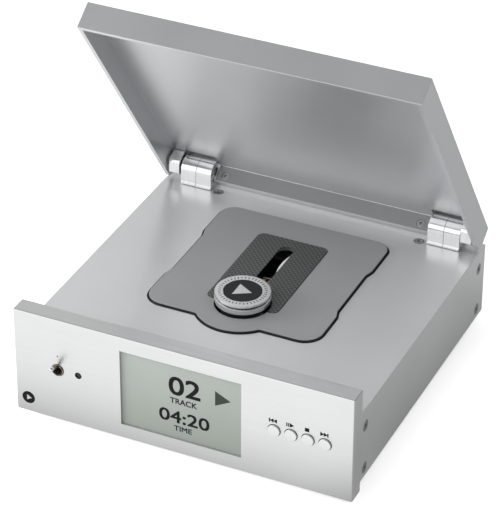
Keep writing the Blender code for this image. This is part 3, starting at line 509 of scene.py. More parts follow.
def carbon_look():
    """Woven carbon under satin resin: a small raised dot wherever one tow crosses over another, each dot
    painted lighter towards its crown as a painted sheen.
    """
    look = Look("carbon_weave_look", (0.05, 0.05, 0.05), 0.38, 0.0, Coat_Weight=0.2, Coat_Roughness=0.3)
    place = look.parts(look.coordinates)
    total = look.math("ADD", place["X"], place["Y"])
    difference = look.math("SUBTRACT", place["X"], place["Y"])

    def crown(position):
        """0 at a tow's edges and 1 at its middle."""
        fraction = look.math("FRACT", look.math("DIVIDE", position, WEAVE_STEP))
        return look.math("MULTIPLY", look.math("MULTIPLY", fraction, 4.0),
                         look.math("SUBTRACT", 1.0, fraction))

    crossing = look.math("MULTIPLY", crown(total), crown(difference))
    filaments = look.noise(1.0, 2.0, (5000.0, 700.0, 700.0))
    height = look.math("MULTIPLY", crossing, look.spread(filaments, 0.75, 1.0))
    # painted sheen: the higher a crossing's crown, the lighter its colour
    painted_sheen_of_height = look.spread(height, 0.0, 1.0, 0.3, 0.85)
    look.color(look.mix(painted_sheen_of_height, (0.030, 0.031, 0.031), (0.12, 0.122, 0.122)))
    look.bump(crossing, 0.15)
    return look.material


def display_look():
    """A reflective display behind clear plastic: pale green-grey, with painted light that makes it lighter
    along its top and painted shade lower down.
    """
    look = Look("display_field", (0.5, 0.54, 0.49), 0.32, 0.0, Coat_Weight=0.2, Coat_Roughness=0.2)
    low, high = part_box("display_glass")
    upward = look.spread(look.parts(look.coordinates)["Z"], 0.0, 1.0, low[2], high[2])
    # painted light and shade: the colour grows lighter from the bottom to the top
    base = look.mix(upward, LCD_PAINTED_SHADE_LOW, LCD_PAINTED_LIGHT_HIGH)
    cloud = look.noise(28.0, 1.0)
    look.color(look.mix(look.spread(cloud, 0.0, 0.18), base, LCD_SHADE))
    return look.material


CARBON = carbon_look()
DISPLAY = display_look()
SEGMENTS = plastic("display_segments", (0.013, 0.015, 0.014), (0.010, 0.012, 0.011), 0.7,
                   Specular_IOR_Level=0.1)
SEGMENTS_SOFT = plastic("display_arrow", (0.045, 0.057, 0.048), (0.039, 0.050, 0.042), 0.5,
                        Specular_IOR_Level=0.2)
LENS = Look("lens_glass", (0.10, 0.12, 0.30), 0.05, 0.0, Coat_Weight=1.0).material

# ---- front panel ----
SKIN = 3.7  # metal left in front of the pockets behind the panel
WINDOW = (73.6, 49.2)
MID_Z = PANEL.size.z / 2.0
# the pockets, as (left, bottom, right, top)
POCKETS = [(-49.0, MID_Z - 31.2, 49.0, MID_Z + 27.4), (50.6, 22.0, 95.0, 47.0), (-84.0, 22.0, -56.0, 47.0)]
BUTTON_HOLE = 3.95
SENSOR_HOLE = 2.1
BUSHING_GAP = 0.12
BUTTON_RADIUS = 3.65
BUTTON_FLANGE = 4.6
BUTTON_STEM = 1.2
SYMBOL_RISE = 6.3  # from a button's middle to its symbol's
SYMBOL_TALL = 2.4
PRINT_FRONT = -0.03  # printed marks stand this far out of the panel
PRINT_BACK = 0.05
DISC_MARK = (-95.4, 0.0, 9.6)
BUSHING_WALL = 0.95
TOGGLE_REACH = 13.0  # from the pivot to the middle of the lever's tip
TOGGLE_TILT = 23.4  # degrees above the horizontal
# what the display shows, as (name, words, left, bottom, width, height, boldness)
DISPLAY_ROWS = [("track_number", "02", -7.5, 38.2, 19.3, 12.3, 0.6),
                ("track_caption", "TRACK", -6.8, 32.4, 16.4, 3.8, 0.2),
                ("time_number", "04:20", -13.6, 19.5, 30.7, 8.3, 0.4),
                ("time_caption", "TIME", -4.6, 14.3, 11.0, 3.4, 0.2)]
DISPLAY_ARROW = [(20.6, 38.5), (30.0, 43.6), (20.6, 48.3)]
DISPLAY_RELIEF = 0.02  # digits stand this far out of the display and into it
BUTTON_WORDS = ("previous", "play", "stop", "next")
BUTTONS = [Span("button_" + word) for word in BUTTON_WORDS]
SENSOR = Span("remote_sensor")
BUSHING = Span("switch_bushing")


def front_panel():
    """A thick plate with brushed face, softly rounded edges and a sharp-edged window."""
    half = PANEL.size.x / 2.0
    panel = soften(box("front_panel_body", (-half, 0.0, 0.0), (half, PANEL.size.y, PANEL.size.z)), 0.75, 5)
    back = PANEL.size.y + 2.0
    tools = [box("tool", (-WINDOW[0] / 2, -2.0, MID_Z - WINDOW[1] / 2),
                 (WINDOW[0] / 2, back, MID_Z + WINDOW[1] / 2))]
    for left, bottom, right, top in POCKETS:
        tools.append(box("tool", (left, SKIN, bottom), (right, back, top)))
    holes = [(span.mid.x, span.mid.z, BUTTON_HOLE) for span in BUTTONS]
    holes.append((BUSHING.mid.x, BUSHING.mid.z, BUSHING.size.x / 2 + BUSHING_GAP))
    holes.append((SENSOR.mid.x, SENSOR.mid.z, SENSOR_HOLE))
    for x, z, radius in holes:
        hole = [(0.0, 2.0), (radius, 2.0), (radius, -SKIN - 1.0), (0.0, -SKIN - 1.0)]
        tools.append(turned("tool", (x, 0.0, z), hole, "Y", 64))
    cut(panel, *tools)
    soften(panel, 0.12, 2)
    finish(panel, PANEL_METAL, "case", "silver_aluminium", "front_panel")


def button_symbols():
    """Playback symbols over the buttons, a dot over the switch and a disc with a play symbol."""
    shapes = []

    def outline(points):
        shapes.append(plate("mark", points, PRINT_FRONT, PRINT_BACK, "Y"))

    def arrow(x, z, width, height):
        outline([(x, z - height / 2), (x + width, z), (x, z + height / 2)])

    def bar(x, z, width, height):
        outline([(x - width / 2, z - height / 2), (x + width / 2, z - height / 2),
                 (x + width / 2, z + height / 2), (x - width / 2, z + height / 2)])

    level = BUTTONS[0].mid.z + SYMBOL_RISE
    taller = SYMBOL_TALL * 1.2
    first, play, stop, last = (span.mid.x - 0.6 for span in BUTTONS)
    bar(first - 2.1, level, 0.8, SYMBOL_TALL)
    arrow(first + 0.3, level, -2.2, taller)
    arrow(first + 2.3, level, -2.2, taller)
    bar(play - 1.9, level, 0.7, SYMBOL_TALL)
    bar(play - 0.85, level, 0.7, SYMBOL_TALL)
    arrow(play - 0.2, level, 2.6, SYMBOL_TALL * 1.25)
    bar(stop, level, 2.6, SYMBOL_TALL)
    bar(last + 2.1, level, 0.8, SYMBOL_TALL)
    arrow(last - 2.3, level, 2.2, taller)
    arrow(last - 0.3, level, 2.2, taller)

    def spot(centre, radius, steps):
        profile = [(0.0, -PRINT_FRONT), (radius, -PRINT_FRONT),
                   (radius, -PRINT_BACK), (0.0, -PRINT_BACK)]
        return turned("mark", centre, profile, "Y", steps)

    shapes.append(spot((BUSHING.mid.x + 0.3, 0.0, BUSHING.mid.z + 9.4), 0.42, 24))
    badge = spot(DISC_MARK, 4.0, 64)
    cut(badge, plate("tool", triangle(DISC_MARK[0], DISC_MARK[2], 2.1), -1.0, 1.0, "Y"))
    shapes.append(badge)
    finish(merged("front_marks", shapes), PRINT, "case", "black_plastic")


def triangle(middle_u, middle_v, radius):
    """A play symbol pointing along the first axis."""
    return arc((middle_u, middle_v), radius, 0.0, 240.0, 2)


def merged(name, pieces):
    """Several pieces as one object."""
    shape = bmesh.new()
    for piece in pieces:
        shape.from_mesh(piece.data)
        mesh = piece.data
        bpy.data.objects.remove(piece, do_unlink=True)
        bpy.data.meshes.remove(mesh)
    mesh = bpy.data.meshes.new(name)
    shape.to_mesh(mesh)
    shape.free()
    return link(name, mesh)


def lettering(name, words, low_x, low_z, width, height, depth, weight):
    """Words in the built-in face on the front, made bolder by four copies a little apart, as a mesh."""
    curve = bpy.data.curves.new(name, "FONT")
    curve.body = words
    curve.size = 1.0
    curve.extrude = 0.01
    curve.resolution_u = TEXT_SIDES
    carrier = link(name, curve)
    bpy.context.view_layer.update()
    reader = bpy.context.evaluated_depsgraph_get()
    mesh = bpy.data.meshes.new_from_object(carrier.evaluated_get(reader))
    bpy.data.objects.remove(carrier, do_unlink=True)
    xs = [vertex.co.x for vertex in mesh.vertices]
    ys = [vertex.co.y for vertex in mesh.vertices]
    across = (width - weight) / (max(xs) - min(xs))
    upward = (height - weight) / (max(ys) - min(ys))
    for vertex in mesh.vertices:
        x = low_x + (vertex.co.x - min(xs)) * across
        z = low_z + (vertex.co.y - min(ys)) * upward
        y = depth + (-DISPLAY_RELIEF if vertex.co.z > 0.0 else DISPLAY_RELIEF)
        vertex.co = (Vector((x, y, z)) + SHIFT) * MM
    shape = bmesh.new()
    for i, (u, v) in enumerate(((0, 0), (1, 0), (0, 1), (1, 1))):
        known = len(shape.verts)
        shape.from_mesh(mesh)
        shape.verts.ensure_lookup_table()
        apart = Vector((u * weight, -LAYER_STEP * i, v * weight)) * MM
        bmesh.ops.translate(shape, vec=apart, verts=shape.verts[known:])
    bmesh.ops.remove_doubles(shape, verts=shape.verts, dist=0.000001)
    bmesh.ops.recalc_face_normals(shape, faces=shape.faces)
    shape.to_mesh(mesh)
    shape.free()
    return link(name, mesh)


def display():
    """The display field with its digits, a play arrow and small captions."""
    margin = Vector((0.27, 0.0, 0.27))
    field = box("display_field", GLASS.low - margin, GLASS.high + margin)
    soften(field, 0.05, 2)
    finish(field, DISPLAY, "case", "display_glass", "display_glass")
    face = GLASS.low.y
    for name, words, x, z, width, height, weight in DISPLAY_ROWS:
        row = lettering(name, words, x, z, width, height, face, weight)
        finish(row, SEGMENTS, "case", "display_glass")
    arrow = plate("play_arrow", DISPLAY_ARROW, face - DISPLAY_RELIEF, face + DISPLAY_RELIEF, "Y")
    finish(arrow, SEGMENTS_SOFT, "case", "display_glass")


def buttons():
    """Turned caps with a flat face and a fine chamfer."""
    for word, span in zip(BUTTON_WORDS, BUTTONS):
        front = -span.low.y
        back = -span.high.y
        profile = [(0.0, front), (BUTTON_RADIUS - 0.45, front), (BUTTON_RADIUS - 0.2, front - 0.06),
                   (BUTTON_RADIUS, front - 0.3), (BUTTON_RADIUS, -SKIN - 0.3), (BUTTON_FLANGE, -SKIN - 0.3),
                   (BUTTON_FLANGE, -SKIN - 1.1), (BUTTON_STEM, -SKIN - 1.1), (BUTTON_STEM, back),
                   (0.0, back)]
        cap = shade(turned("cap_" + word, (span.mid.x, 0.0, span.mid.z), profile, "Y", 72))
        finish(cap, BUTTON_METAL, word + "_button", "silver_aluminium", "button_" + word)


def power_switch():
    """A bushing, level with the panel, its well, the bat lever in it and the sensor's window; the polished
    bushing and lever are painted dark brown, a painted dark reflection.
    """
    radius = BUSHING.size.x / 2
    front = -BUSHING.low.y
    bore = radius - BUSHING_WALL
    back = -BUSHING.high.y
    profile = [(bore, front - 0.25), (radius - 0.75, front), (radius - 0.25, front),
               (radius, front - 0.25), (radius, back), (bore, back)]
    bushing = shade(turned("toggle_bushing", (BUSHING.mid.x, 0.0, BUSHING.mid.z), profile, "Y", 72))
    finish(bushing, BUSHING_PAINTED_REFLECTION, "case", "polished_aluminium", "switch_bushing")
    well = [(bore, front - 0.5), (bore, back), (2.1, back), (2.4, front - 2.4)]
    liner = shade(turned("toggle_well", (BUSHING.mid.x, 0.0, BUSHING.mid.z), well, "Y", 72))
    finish(liner, WELL, "case", "black_plastic")
    reach = TOGGLE_REACH
    ball = [(0.0, reach + 1.35), (0.5, reach + 1.28), (0.95, reach + 1.0), (1.25, reach + 0.5),
            (1.35, reach - 0.1), (1.3, reach - 0.8), (0.9, reach - 1.6), (0.0, reach - 1.6)]
    shaft = [(0.0, reach - 1.4), (0.9, reach - 1.4), (1.0, reach - 3.0), (0.75, 6.6), (0.75, 1.3),
             (1.25, 0.9), (1.3, 0.0), (1.25, -0.9), (0.9, -1.6), (0.0, -1.6)]
    placed = Matrix.Translation(PIVOT) @ Matrix.Rotation(-math.radians(TOGGLE_TILT), 4, "X")
    lever = shade(turned("toggle_lever", (0.0, 0.0, 0.0), shaft, "Y", 40), 50.0)
    finish(moved(lever, placed), BUSHING_PAINTED_REFLECTION, "power_toggle", "polished_aluminium", "power_lever")
    tip = shade(turned("toggle_tip", (0.0, 0.0, 0.0), ball, "Y", 40), 50.0)
    finish(moved(tip, placed), PUCK_METAL, "power_toggle", "polished_aluminium")
    window = [(0.0, -0.9), (1.6, -0.9), (1.95, -1.3), (1.95, -SKIN - 0.3), (2.8, -SKIN - 0.3), (2.8, -7.6),
              (0.0, -7.6)]
    sensor = shade(turned("sensor_window", (SENSOR.mid.x, 0.0, SENSOR.mid.z), window, "Y", 48))
    finish(sensor, SENSOR_LOOK, "case", "black_plastic", "remote_sensor")


# ---- case ----
SIDE_SHEET = 3.0
TOP_SHEET = 2.5
DRIVE_HALF = DRIVE.size.x / 2.0
DRIVE_FRONT = 60.5
FRONT_ROUNDING = 11.5
REAR_ROUNDING = 9.5
LOBE_Y = 77.5
LOBE_RADIUS = 26.0
LOBE_ROUNDING = 2.5  # where the lobe leaves the front edge
WAIST = 1.7
WAIST_Y = (90.5, 96.5, 136.8, 142.8)
WAIST_ROUNDING = 3.0
MARGIN = 0.9  # from the drive's edge to the edge of the opening round it
HUB_OPENING = 16.5
SIDE_SCREW_Z = (10.7, 38.8)
SIDE_SCREW_Y = (19.0, 190.2)
TOP_SCREW = (65.3, 186.5)
POST_SPAN = (13.3, 3.3)  # a post's inner and outer face, from the case's side
SUNK = 0.05  # a screw's head below the face round it
# radius of a screw's head and of its shaft
SIDE_SCREW_SIZE = (3.4, 1.5)
TOP_SCREW_SIZE = (3.2, 1.5)
LID_SCREW_SIZE = (2.6, 1.2)
FOOT_SCREW_SIZE = (3.0, 1.4)
STAR_STEPS = 48


def drive_corners():
    """The drive plate's outline: rounded corners, a waist on each side and a lobe at the front."""
    lobe_half = math.sqrt(LOBE_RADIUS ** 2 - (LOBE_Y - DRIVE_FRONT) ** 2)
    start = math.degrees(math.atan2(DRIVE_FRONT - LOBE_Y, -lobe_half))
    lobe = arc((0.0, LOBE_Y), LOBE_RADIUS, start, -180.0 - start, 24)
    corners = [(-DRIVE_HALF, DRIVE_FRONT, FRONT_ROUNDING)]
    for i, (u, v) in enumerate(lobe):
        corners.append((u, v, LOBE_ROUNDING if i in (0, len(lobe) - 1) else 0.0))
    narrow = DRIVE_HALF - WAIST
    right = [(DRIVE_HALF, DRIVE_FRONT, FRONT_ROUNDING)]
    for u, v in zip((DRIVE_HALF, narrow, narrow, DRIVE_HALF), WAIST_Y):
        right.append((u, v, WAIST_ROUNDING))
    right.append((DRIVE_HALF, DRIVE.high.y, REAR_ROUNDING))
    corners += right
    corners += [(-u, v, radius) for u, v, radius in reversed(right[1:])]
    return corners


def torx_screw(name, centre, size, length, axis):
    """A countersunk screw with a six-lobed recess."""
    head, shaft = size
    depth = (head - shaft) * 0.9
    profile = [(0.0, 0.0), (head - 0.2, 0.0), (head, -0.12), (head - 0.05, -0.25), (shaft, -depth),
               (shaft, -length), (0.0, -length)]
    screw = turned(name, centre, profile, axis, 48)
    inner = head * 0.30
    outer = head * 0.44
    star = []
    for i in range(STAR_STEPS):
        angle = 2.0 * math.pi * i / STAR_STEPS
        radius = inner + (outer - inner) * (0.5 + 0.5 * math.cos(6.0 * angle))
        star.append((radius * math.cos(angle), radius * math.sin(angle)))
    recess = prism([(u, v, -depth * 0.8) for u, v in star], [(u, v, 1.0) for u, v in star])
    cut(screw, from_bmesh("tool", placed_on(recess, centre, axis)))
    return shade(screw)


def screw_hole(centre, size, length, axis):
    """A countersunk hole with room round the screw."""
    head, shaft = size
    depth = (head - shaft) * 0.9
    profile = [(0.0, 1.0), (head + 0.22, 1.0), (head + 0.22, -0.1), (shaft + 0.3, -depth - 0.15),
               (shaft + 0.3, -length), (0.0, -length)]
    return turned("tool", centre, profile, axis, 48)


def case_cover():
    """The top and both sides in one sheet, with the opening for the drive."""
    half = COVER.size.x / 2.0
    top = COVER.high.z
    cover = soften(box("case_shell", COVER.low, COVER.high), 0.35, 4)
    tools = [box("tool", (-half + SIDE_SHEET, COVER.low.y - 5, COVER.low.z - 5),
                 (half - SIDE_SHEET, COVER.high.y + 5, top - TOP_SHEET)),
             plate("tool", rounded(grown(drive_corners(), MARGIN), 12), top - 6.0, top + 2.0)]
    for side, axis in OUTWARD.items():
        for y in SIDE_SCREW_Y:
            for z in SIDE_SCREW_Z:
                tools.append(screw_hole((side * half, y, z), SIDE_SCREW_SIZE, 4.0, axis))
        tools.append(screw_hole((side * TOP_SCREW[0], TOP_SCREW[1], top), TOP_SCREW_SIZE, 4.0, "Z"))
    cut(cover, *tools)
    soften(cover, 0.1, 2)
    finish(cover, CASE_METAL, "case", "silver_aluminium", "case_cover")


def posts_and_screws():
    """Each corner's post with its two side screws, and the rear rail with the two top screws."""
    half = COVER.size.x / 2.0
    for side, word in SIDES:
        low_x, high_x = sorted(side * (half - inset) for inset in POST_SPAN)
        for y, place in zip(SIDE_SCREW_Y, ("front", "rear")):
            node = f"corner_post_{place}_{word}"
            span = Span(node)
            post = soften(box(f"post_{place}_{word}", (low_x, span.low.y, span.low.z),
                              (high_x, span.high.y, span.high.z)), 0.4, 2)
            for z in SIDE_SCREW_Z:
                centre = (side * (half - SUNK), y, z)
                join(post, torx_screw("screw", centre, SIDE_SCREW_SIZE, 6.0, OUTWARD[side]))
            finish(shade(post), ZINC, "case", "zinc_steel", node)
    span = Span("rear_rail")
    top = COVER.high.z
    rail = soften(box("top_rail", span.low, (span.high.x, span.high.y, top - 2.8)), 0.4, 2)
    for side in OUTWARD:
        centre = (side * TOP_SCREW[0], TOP_SCREW[1], top - SUNK)
        join(rail, torx_screw("screw", centre, TOP_SCREW_SIZE, 5.0, "Z"))
    finish(shade(rail), ZINC, "case", "zinc_steel", "rear_rail")


def feet():
    """Rubber feet with rounded rims and the heads of their screws."""
    for word in ("front_left", "front_right", "rear_left", "rear_right"):
        span = Span("foot_" + word)
        wide = span.size.x / 2.0
        centre = (span.mid.x, span.mid.y, 0.0)
        low = span.low.z
        high = span.high.z
        profile = [(1.8, high), (wide - 0.8, high), (wide - 0.25, high - 0.25), (wide, high - 0.8),
                   (wide, low + 2.6), (wide - 0.5, low + 2.3), (wide - 0.5, low + 1.8), (wide, low + 1.5),
                   (wide, low + 0.8), (wide - 0.25, low + 0.25), (wide - 0.8, low), (4.0, low),
                   (3.6, low + 0.4), (3.6, low + 3.0), (1.8, low + 3.0)]
        pad = shade(turned("pad_" + word, centre, profile, "Z", 56))
        finish(pad, RUBBER, "case", "black_rubber", "foot_" + word)
        head = (span.mid.x, span.mid.y, low + 1.3)
        screw = torx_screw("foot_screw_" + word, head, FOOT_SCREW_SIZE, 6.0, "-Z")
        finish(screw, ZINC, "case", "zinc_steel")


# ---- lid and hinges ----
LID_FRONT = 12.0
LID_REAR = 198.9
LID_LOW = 51.2
LID_HIGH = 67.6
LID_SKIN = 2.8
LID_SIDE = 2.8
LID_FRONT_WALL = 2.4
LID_REAR_WALL = 5.0
LID_REAR_LIFT = 2.7
LID_FILLET = 0.4  # inside, where the walls meet the top
LID_SCREWS = [(side * 63.6, LID_REAR - LID_REAR_WALL, LID_LOW + 7.2) for side, word in SIDES]
STRIP_THICKNESS = 0.15  # the grey strip along the rear wall, inside
STRIP_HOLE = 2.75
HINGE_RADIUS = 6.7
HINGE_INNER = 70.3
HINGE_OUTER = 90.5
PIN_RADIUS = 2.5
PIN_HOLE = 2.8
SEAM = 0.06  # half the gap between a hinge's two fixed pieces
HINGE_BASE = 0.3  # from the case to a hinge's foot
HINGE_LIP = 0.9  # how far the upright front and then the foot stand forward
HINGE_BACK = 5.6
ARM_INNER = 91.1
ARM_OUTER = 98.0
# the arm's front, as (back, up) from the hinge axis with the lid shut, from the lid down to its heel
ARM_TOE = -7.8
ARM_FACE = [(-8.9, 2.2), (-9.5, 0.5), (-9.85, -0.7), (-9.95, -1.9), (-9.6, -3.1), (-8.8, -4.1),
            (-3.2, -8.25)]


def lid_shell():
    """A milled plate with a rim, drawn closed and then opened about the hinge."""
    half = COVER.size.x / 2.0
    floor = LID_HIGH - LID_SKIN
    rear = LID_REAR - LID_REAR_WALL
    side_view = [(LID_FRONT, LID_LOW), (LID_REAR - LID_REAR_LIFT, LID_LOW),
                 (LID_REAR, LID_LOW + LID_REAR_LIFT), (LID_REAR, LID_HIGH), (LID_FRONT, LID_HIGH)]
    shell = soften(plate("lid_top", side_view, -half, half, "X"), 0.18, 3)
    under = LID_LOW - 5.0
    behind = LID_REAR + 5.0
    inner = half - LID_SIDE
    pocket = soften(box("tool", (-inner, LID_FRONT + LID_FRONT_WALL, under), (inner, rear, floor)),
                    LID_FILLET, 6)
    short_rear = box("tool", (-inner, rear - 1.0, under), (inner, behind, LID_LOW + LID_REAR_LIFT))
    tools = [pocket, short_rear]
    relief_top = HINGE.z + HINGE_RADIUS + 0.35
    for (side, word), place in zip(SIDES, LID_SCREWS):
        low, high = sorted((side * (HINGE_INNER - 0.6), side * inner))
        tools.append(box("tool", (low, rear - 0.5, under), (high, behind, floor - 0.05)))
        low, high = sorted((side * (HINGE_INNER - 0.6), side * (HINGE_OUTER + 0.3)))
        tools.append(box("tool", (low, HINGE.y - 9.4, floor - 1.0), (high, behind, relief_top)))
        tools.append(screw_hole(place, LID_SCREW_SIZE, 3.0, "Y"))
    cut(shell, *tools)
    soften(shell, 0.12, 2, 40.0)
    finish(moved(shell, OPEN_LID), LID_METAL, "lid", "silver_aluminium", "lid_shell")
    reach = HINGE_INNER - 1.2
    # a thin dark grey sheet on the rear wall's inner face, painted shade of that face
    strip = box("rear_strip_painted_shade", (-reach, rear - STRIP_THICKNESS, LID_LOW + LID_REAR_LIFT + 0.4),
                (reach, rear, floor - 0.45))
    cut(strip, *[round_tool(place, STRIP_HOLE, 2.0, "Y", 48) for place in LID_SCREWS])
    finish(moved(strip, OPEN_LID), REAR_WALL_PAINTED_SHADE, "lid", "silver_aluminium")
    for (side, word), place in zip(SIDES, LID_SCREWS):
        screw = torx_screw("lid_fixing_" + word, place, LID_SCREW_SIZE, 2.7, "Y")
        finish(moved(screw, OPEN_LID), ZINC, "lid", "zinc_steel", "lid_screw_" + word)


def hinge_side():
    """The fixed half seen from the side: a flat foot, an upright front and a round top and rear."""
    foot = COVER.high.z + HINGE_BASE
    front = HINGE.y - HINGE_RADIUS - HINGE_LIP
    deep = HINGE.y - front
    top = []
    for degrees in range(0, 90, 5):
        top.append((HINGE.y + deep * math.cos(math.radians(180 - degrees)),
                    HINGE.z + HINGE_RADIUS * math.sin(math.radians(degrees))))
    top += arc((HINGE.y, HINGE.z), HINGE_RADIUS, 90.0, -30.0, 32)
    rear = HINGE.y + HINGE_BACK
    return [(front, foot + 1.7)] + top + [(rear, foot + 1.7), (rear, foot), (front - HINGE_LIP, foot),
                                          (front - HINGE_LIP, foot + 1.2), (front, foot + 1.2)]


def hinges():
    """Two fixed pieces side by side on a pin, and an arm outside them that carries the lid."""
    middle = (HINGE_INNER + HINGE_OUTER) / 2.0
    for side, word in SIDES:
        for name, near, far in (("cap", HINGE_INNER, middle - SEAM), ("block", middle + SEAM, HINGE_OUTER)):
            low, high = sorted((side * near, side * far))
            piece = plate(f"knuckle_{name}_{word}", hinge_side(), low, high, "X")
            cut(piece, round_tool((side * middle, HINGE.y, HINGE.z), PIN_HOLE, 30.0, "X", 64))
            soften(piece, 0.14, 2, 35.0)
            finish(piece, HINGE_METAL, "case", "polished_aluminium", f"hinge_{name}_{word}")
        hinge_arm(side, word)


def hinge_arm(side, word):
    """The moving half: an eye round the pin and a foot on the lid's inner face."""
    low, high = sorted((side * ARM_INNER, side * ARM_OUTER))
    ceiling = LID_HIGH - LID_SKIN - 0.3
    reach = math.degrees(math.asin((ceiling - HINGE.z) / HINGE_RADIUS))
    heel = Vector(ARM_FACE[-1])
    tangent = math.degrees(math.atan2(-heel.y, -heel.x) - math.asin(HINGE_RADIUS / heel.length)) + 270.0
    eye = arc((HINGE.y, HINGE.z), HINGE_RADIUS, tangent, 360.0 + reach, 40)
    face = [(HINGE.y + back, HINGE.z + up) for back, up in ARM_FACE]
    outline = [(HINGE.y + ARM_TOE, ceiling)] + face + eye
    arm = plate("knuckle_arm_" + word, outline, low, high, "X")
    cut(arm, round_tool((side * (ARM_INNER + ARM_OUTER) / 2, HINGE.y, HINGE.z), PIN_HOLE, 10.0, "X", 64))
    soften(arm, 0.15, 2, 35.0)
    finish(moved(arm, OPEN_LID), HINGE_METAL, "lid", "polished_aluminium", "lid_arm_" + word)
    near = HINGE_INNER + 0.8
    far = ARM_OUTER - 0.3
    half = (far - near) / 2.0
    outer_half = [(0.0, half), (1.0, half), (1.3, half - 0.35), (PIN_RADIUS - 0.4, half - 0.35),
                  (PIN_RADIUS, half - 0.75)]
    pin = outer_half + [(radius, -along) for radius, along in reversed(outer_half)]
    rod = shade(turned("hinge_rod_" + word, (side * (near + far) / 2, HINGE.y, HINGE.z), pin, "X", 48))
    finish(moved(rod, OPEN_LID), ZINC, "lid", "zinc_steel", "hinge_pin_" + word)


# ---- disc drive ----
CARBON_HALF = 22.1
CARBON_SPAN = (78.4, 153.4)
CARBON_RADIUS = 4.0
CARBON_THICKNESS = 0.9
SLOT_HALF = 4.4
SLOT_END = 145.2
GAP = 0.3  # round the woven plate
# the dark trim is painted shadow: a black ring where the gap round the drive's cover falls in shade
SHADOW_GAP_TRIM = 0.3  # width of the dark trim round the drive's cover
PUCK_RADIUS = 16.25
TICKS = 40  # short marks round the clamp's disc


def slot_outline(half, end):
    return [(-half, SPINDLE.y + 6.0), (half, SPINDLE.y + 6.0)] + arc((0.0, end - half), half, 0.0, 180.0, 32)


def carbon_corners(extra):
    radius = CARBON_RADIUS + extra
    left = -CARBON_HALF - extra
    right = CARBON_HALF + extra
    front = CARBON_SPAN[0] - extra
    rear = CARBON_SPAN[1] + extra
    return [(left, front, radius), (right, front, radius), (right, rear, radius), (left, rear, radius)]


def drive_top():
    """The drive's cover plate, a black ring round it that is painted shadow of the gap, and the woven plate
    let into it.
    """
    high = DRIVE.high.z
    inner = rounded(grown(drive_corners(), -SHADOW_GAP_TRIM), 14)
    cover = soften(plate("drive_cover", inner, DRIVE.low.z, high), 0.2, 3, 50.0)
    # painted shadow: a black rubber ring where the gap round the cover shows dark
    edge = plate("drive_edge_painted_shadow", rounded(drive_corners(), 14), DRIVE.low.z, high - 0.35)
    cut(edge, plate("tool", inner, DRIVE.low.z - 2.0, high + 2.0))
    finish(edge, RUBBER, "case", "black_rubber")
    recess = plate("tool", rounded(carbon_corners(GAP), 12), CARBON_PLATE.low.z - GAP, high + 2.0)
    slot = plate("tool", slot_outline(SLOT_HALF + 1.6, SLOT_END + 1.6), high - 8.0, high + 2.0)
    hole = round_tool((0.0, SPINDLE.y, high), HUB_OPENING, 10.0, "Z", 96)
    cut(cover, recess, slot, hole)
    finish(shade(cover), DRIVE_METAL, "case", "grey_anodised", "drive_plate")
    top = CARBON_PLATE.high.z
    weave = plate("woven_plate", rounded(carbon_corners(0.0), 12), top - CARBON_THICKNESS, top)
    slot = plate("tool", slot_outline(SLOT_HALF, SLOT_END), top - 4.0, top + 2.0)
    hole = round_tool((0.0, SPINDLE.y, top), HUB_OPENING, 10.0, "Z", 96)
    cut(weave, slot, hole)
    soften(weave, 0.1, 2, 40.0)
    finish(weave, CARBON, "case", "carbon_weave", "carbon_plate")


def puck():
    """The magnetic clamp: a grooved ring with a polished chamfer round a dark inlaid disc."""
    low = PUCK.low.z
    top = PUCK.high.z
    wide = PUCK_RADIUS
    body = [(0.0, top - 0.9), (11.2, top - 0.9), (11.3, top - 0.1), (11.4, top), (wide - 0.55, top),
            (wide - 0.15, top - 0.15), (wide, top - 0.5), (wide, top - 1.35), (wide - 0.2, top - 1.6),
            (wide - 2.0, top - 1.75), (wide - 2.05, top - 2.45), (wide - 0.4, top - 2.6),
            (wide - 0.02, top - 2.9), (wide + 0.08, top - 3.6), (wide + 0.1, low + 1.9),
            (wide - 0.02, low + 1.1), (wide - 0.35, low + 0.5), (wide - 1.0, low), (8.0, low),
            (8.0, low + 2.1), (0.0, low + 2.1)]
    ring = shade(turned("clamp_ring", (0.0, SPINDLE.y, 0.0), body, "Z", 128))
    ticks = [tick(2.0 * math.pi * i / TICKS, 13.3, 1.7, 0.5, top) for i in range(TICKS)]
    finish(merged("clamp_ticks", ticks), PRINT, "clamp", "puck_disc")
    finish(ring, PUCK_METAL, "clamp", "polished_aluminium", "puck_body")
    face = [(0.0, top - 0.02), (10.9, top - 0.02), (11.0, top - 0.1), (11.0, top - 0.6), (0.0, top - 0.6)]
    inlay = shade(turned("clamp_inlay", (0.0, SPINDLE.y, 0.0), face, "Z", 96))
    finish(inlay, PUCK_DISC, "clamp", "puck_disc", "puck_inlay")
    play = plate("clamp_symbol", triangle(-0.9, SPINDLE.y, 6.6), top - 0.05, top + 0.01)
    finish(play, PUCK_METAL, "clamp", "polished_aluminium")


def tick(angle, radius, length, width, level):
    """A short radial mark lying on a round face."""
    across = Vector((-math.sin(angle), math.cos(angle)))
    along = Vector((math.cos(angle), math.sin(angle)))
    middle = along * radius + Vector((0.0, SPINDLE.y))
    corners = [middle + along * a * length / 2 + across * b * width / 2
               for a, b in ((-1, -1), (1, -1), (1, 1), (-1, 1))]
    return plate("mark", [tuple(corner) for corner in corners], level - 0.05, level + 0.015)


def lens_coils():
    """The lens's two copper windings and its bright yoke, on the sled just behind the lens."""
    lens = Span("lens_actuator")
    back = lens.high.y
    top = lens.high.z - 0.6
    for side in (-1, 1):
        low, high = sorted((side * 0.7, side * 3.1))
        coil = soften(box("lens_coil", (low, back + 0.3, top - 2.6), (high, back + 4.6, top)), 0.5, 3)
        finish(coil, COPPER, "sled", "gold_contacts")
    yoke = soften(box("lens_yoke", (-3.3, back + 4.9, top - 3.0), (3.3, back + 5.7, top + 0.4)), 0.2, 2)
    finish(yoke, ZINC, "sled", "zinc_steel")


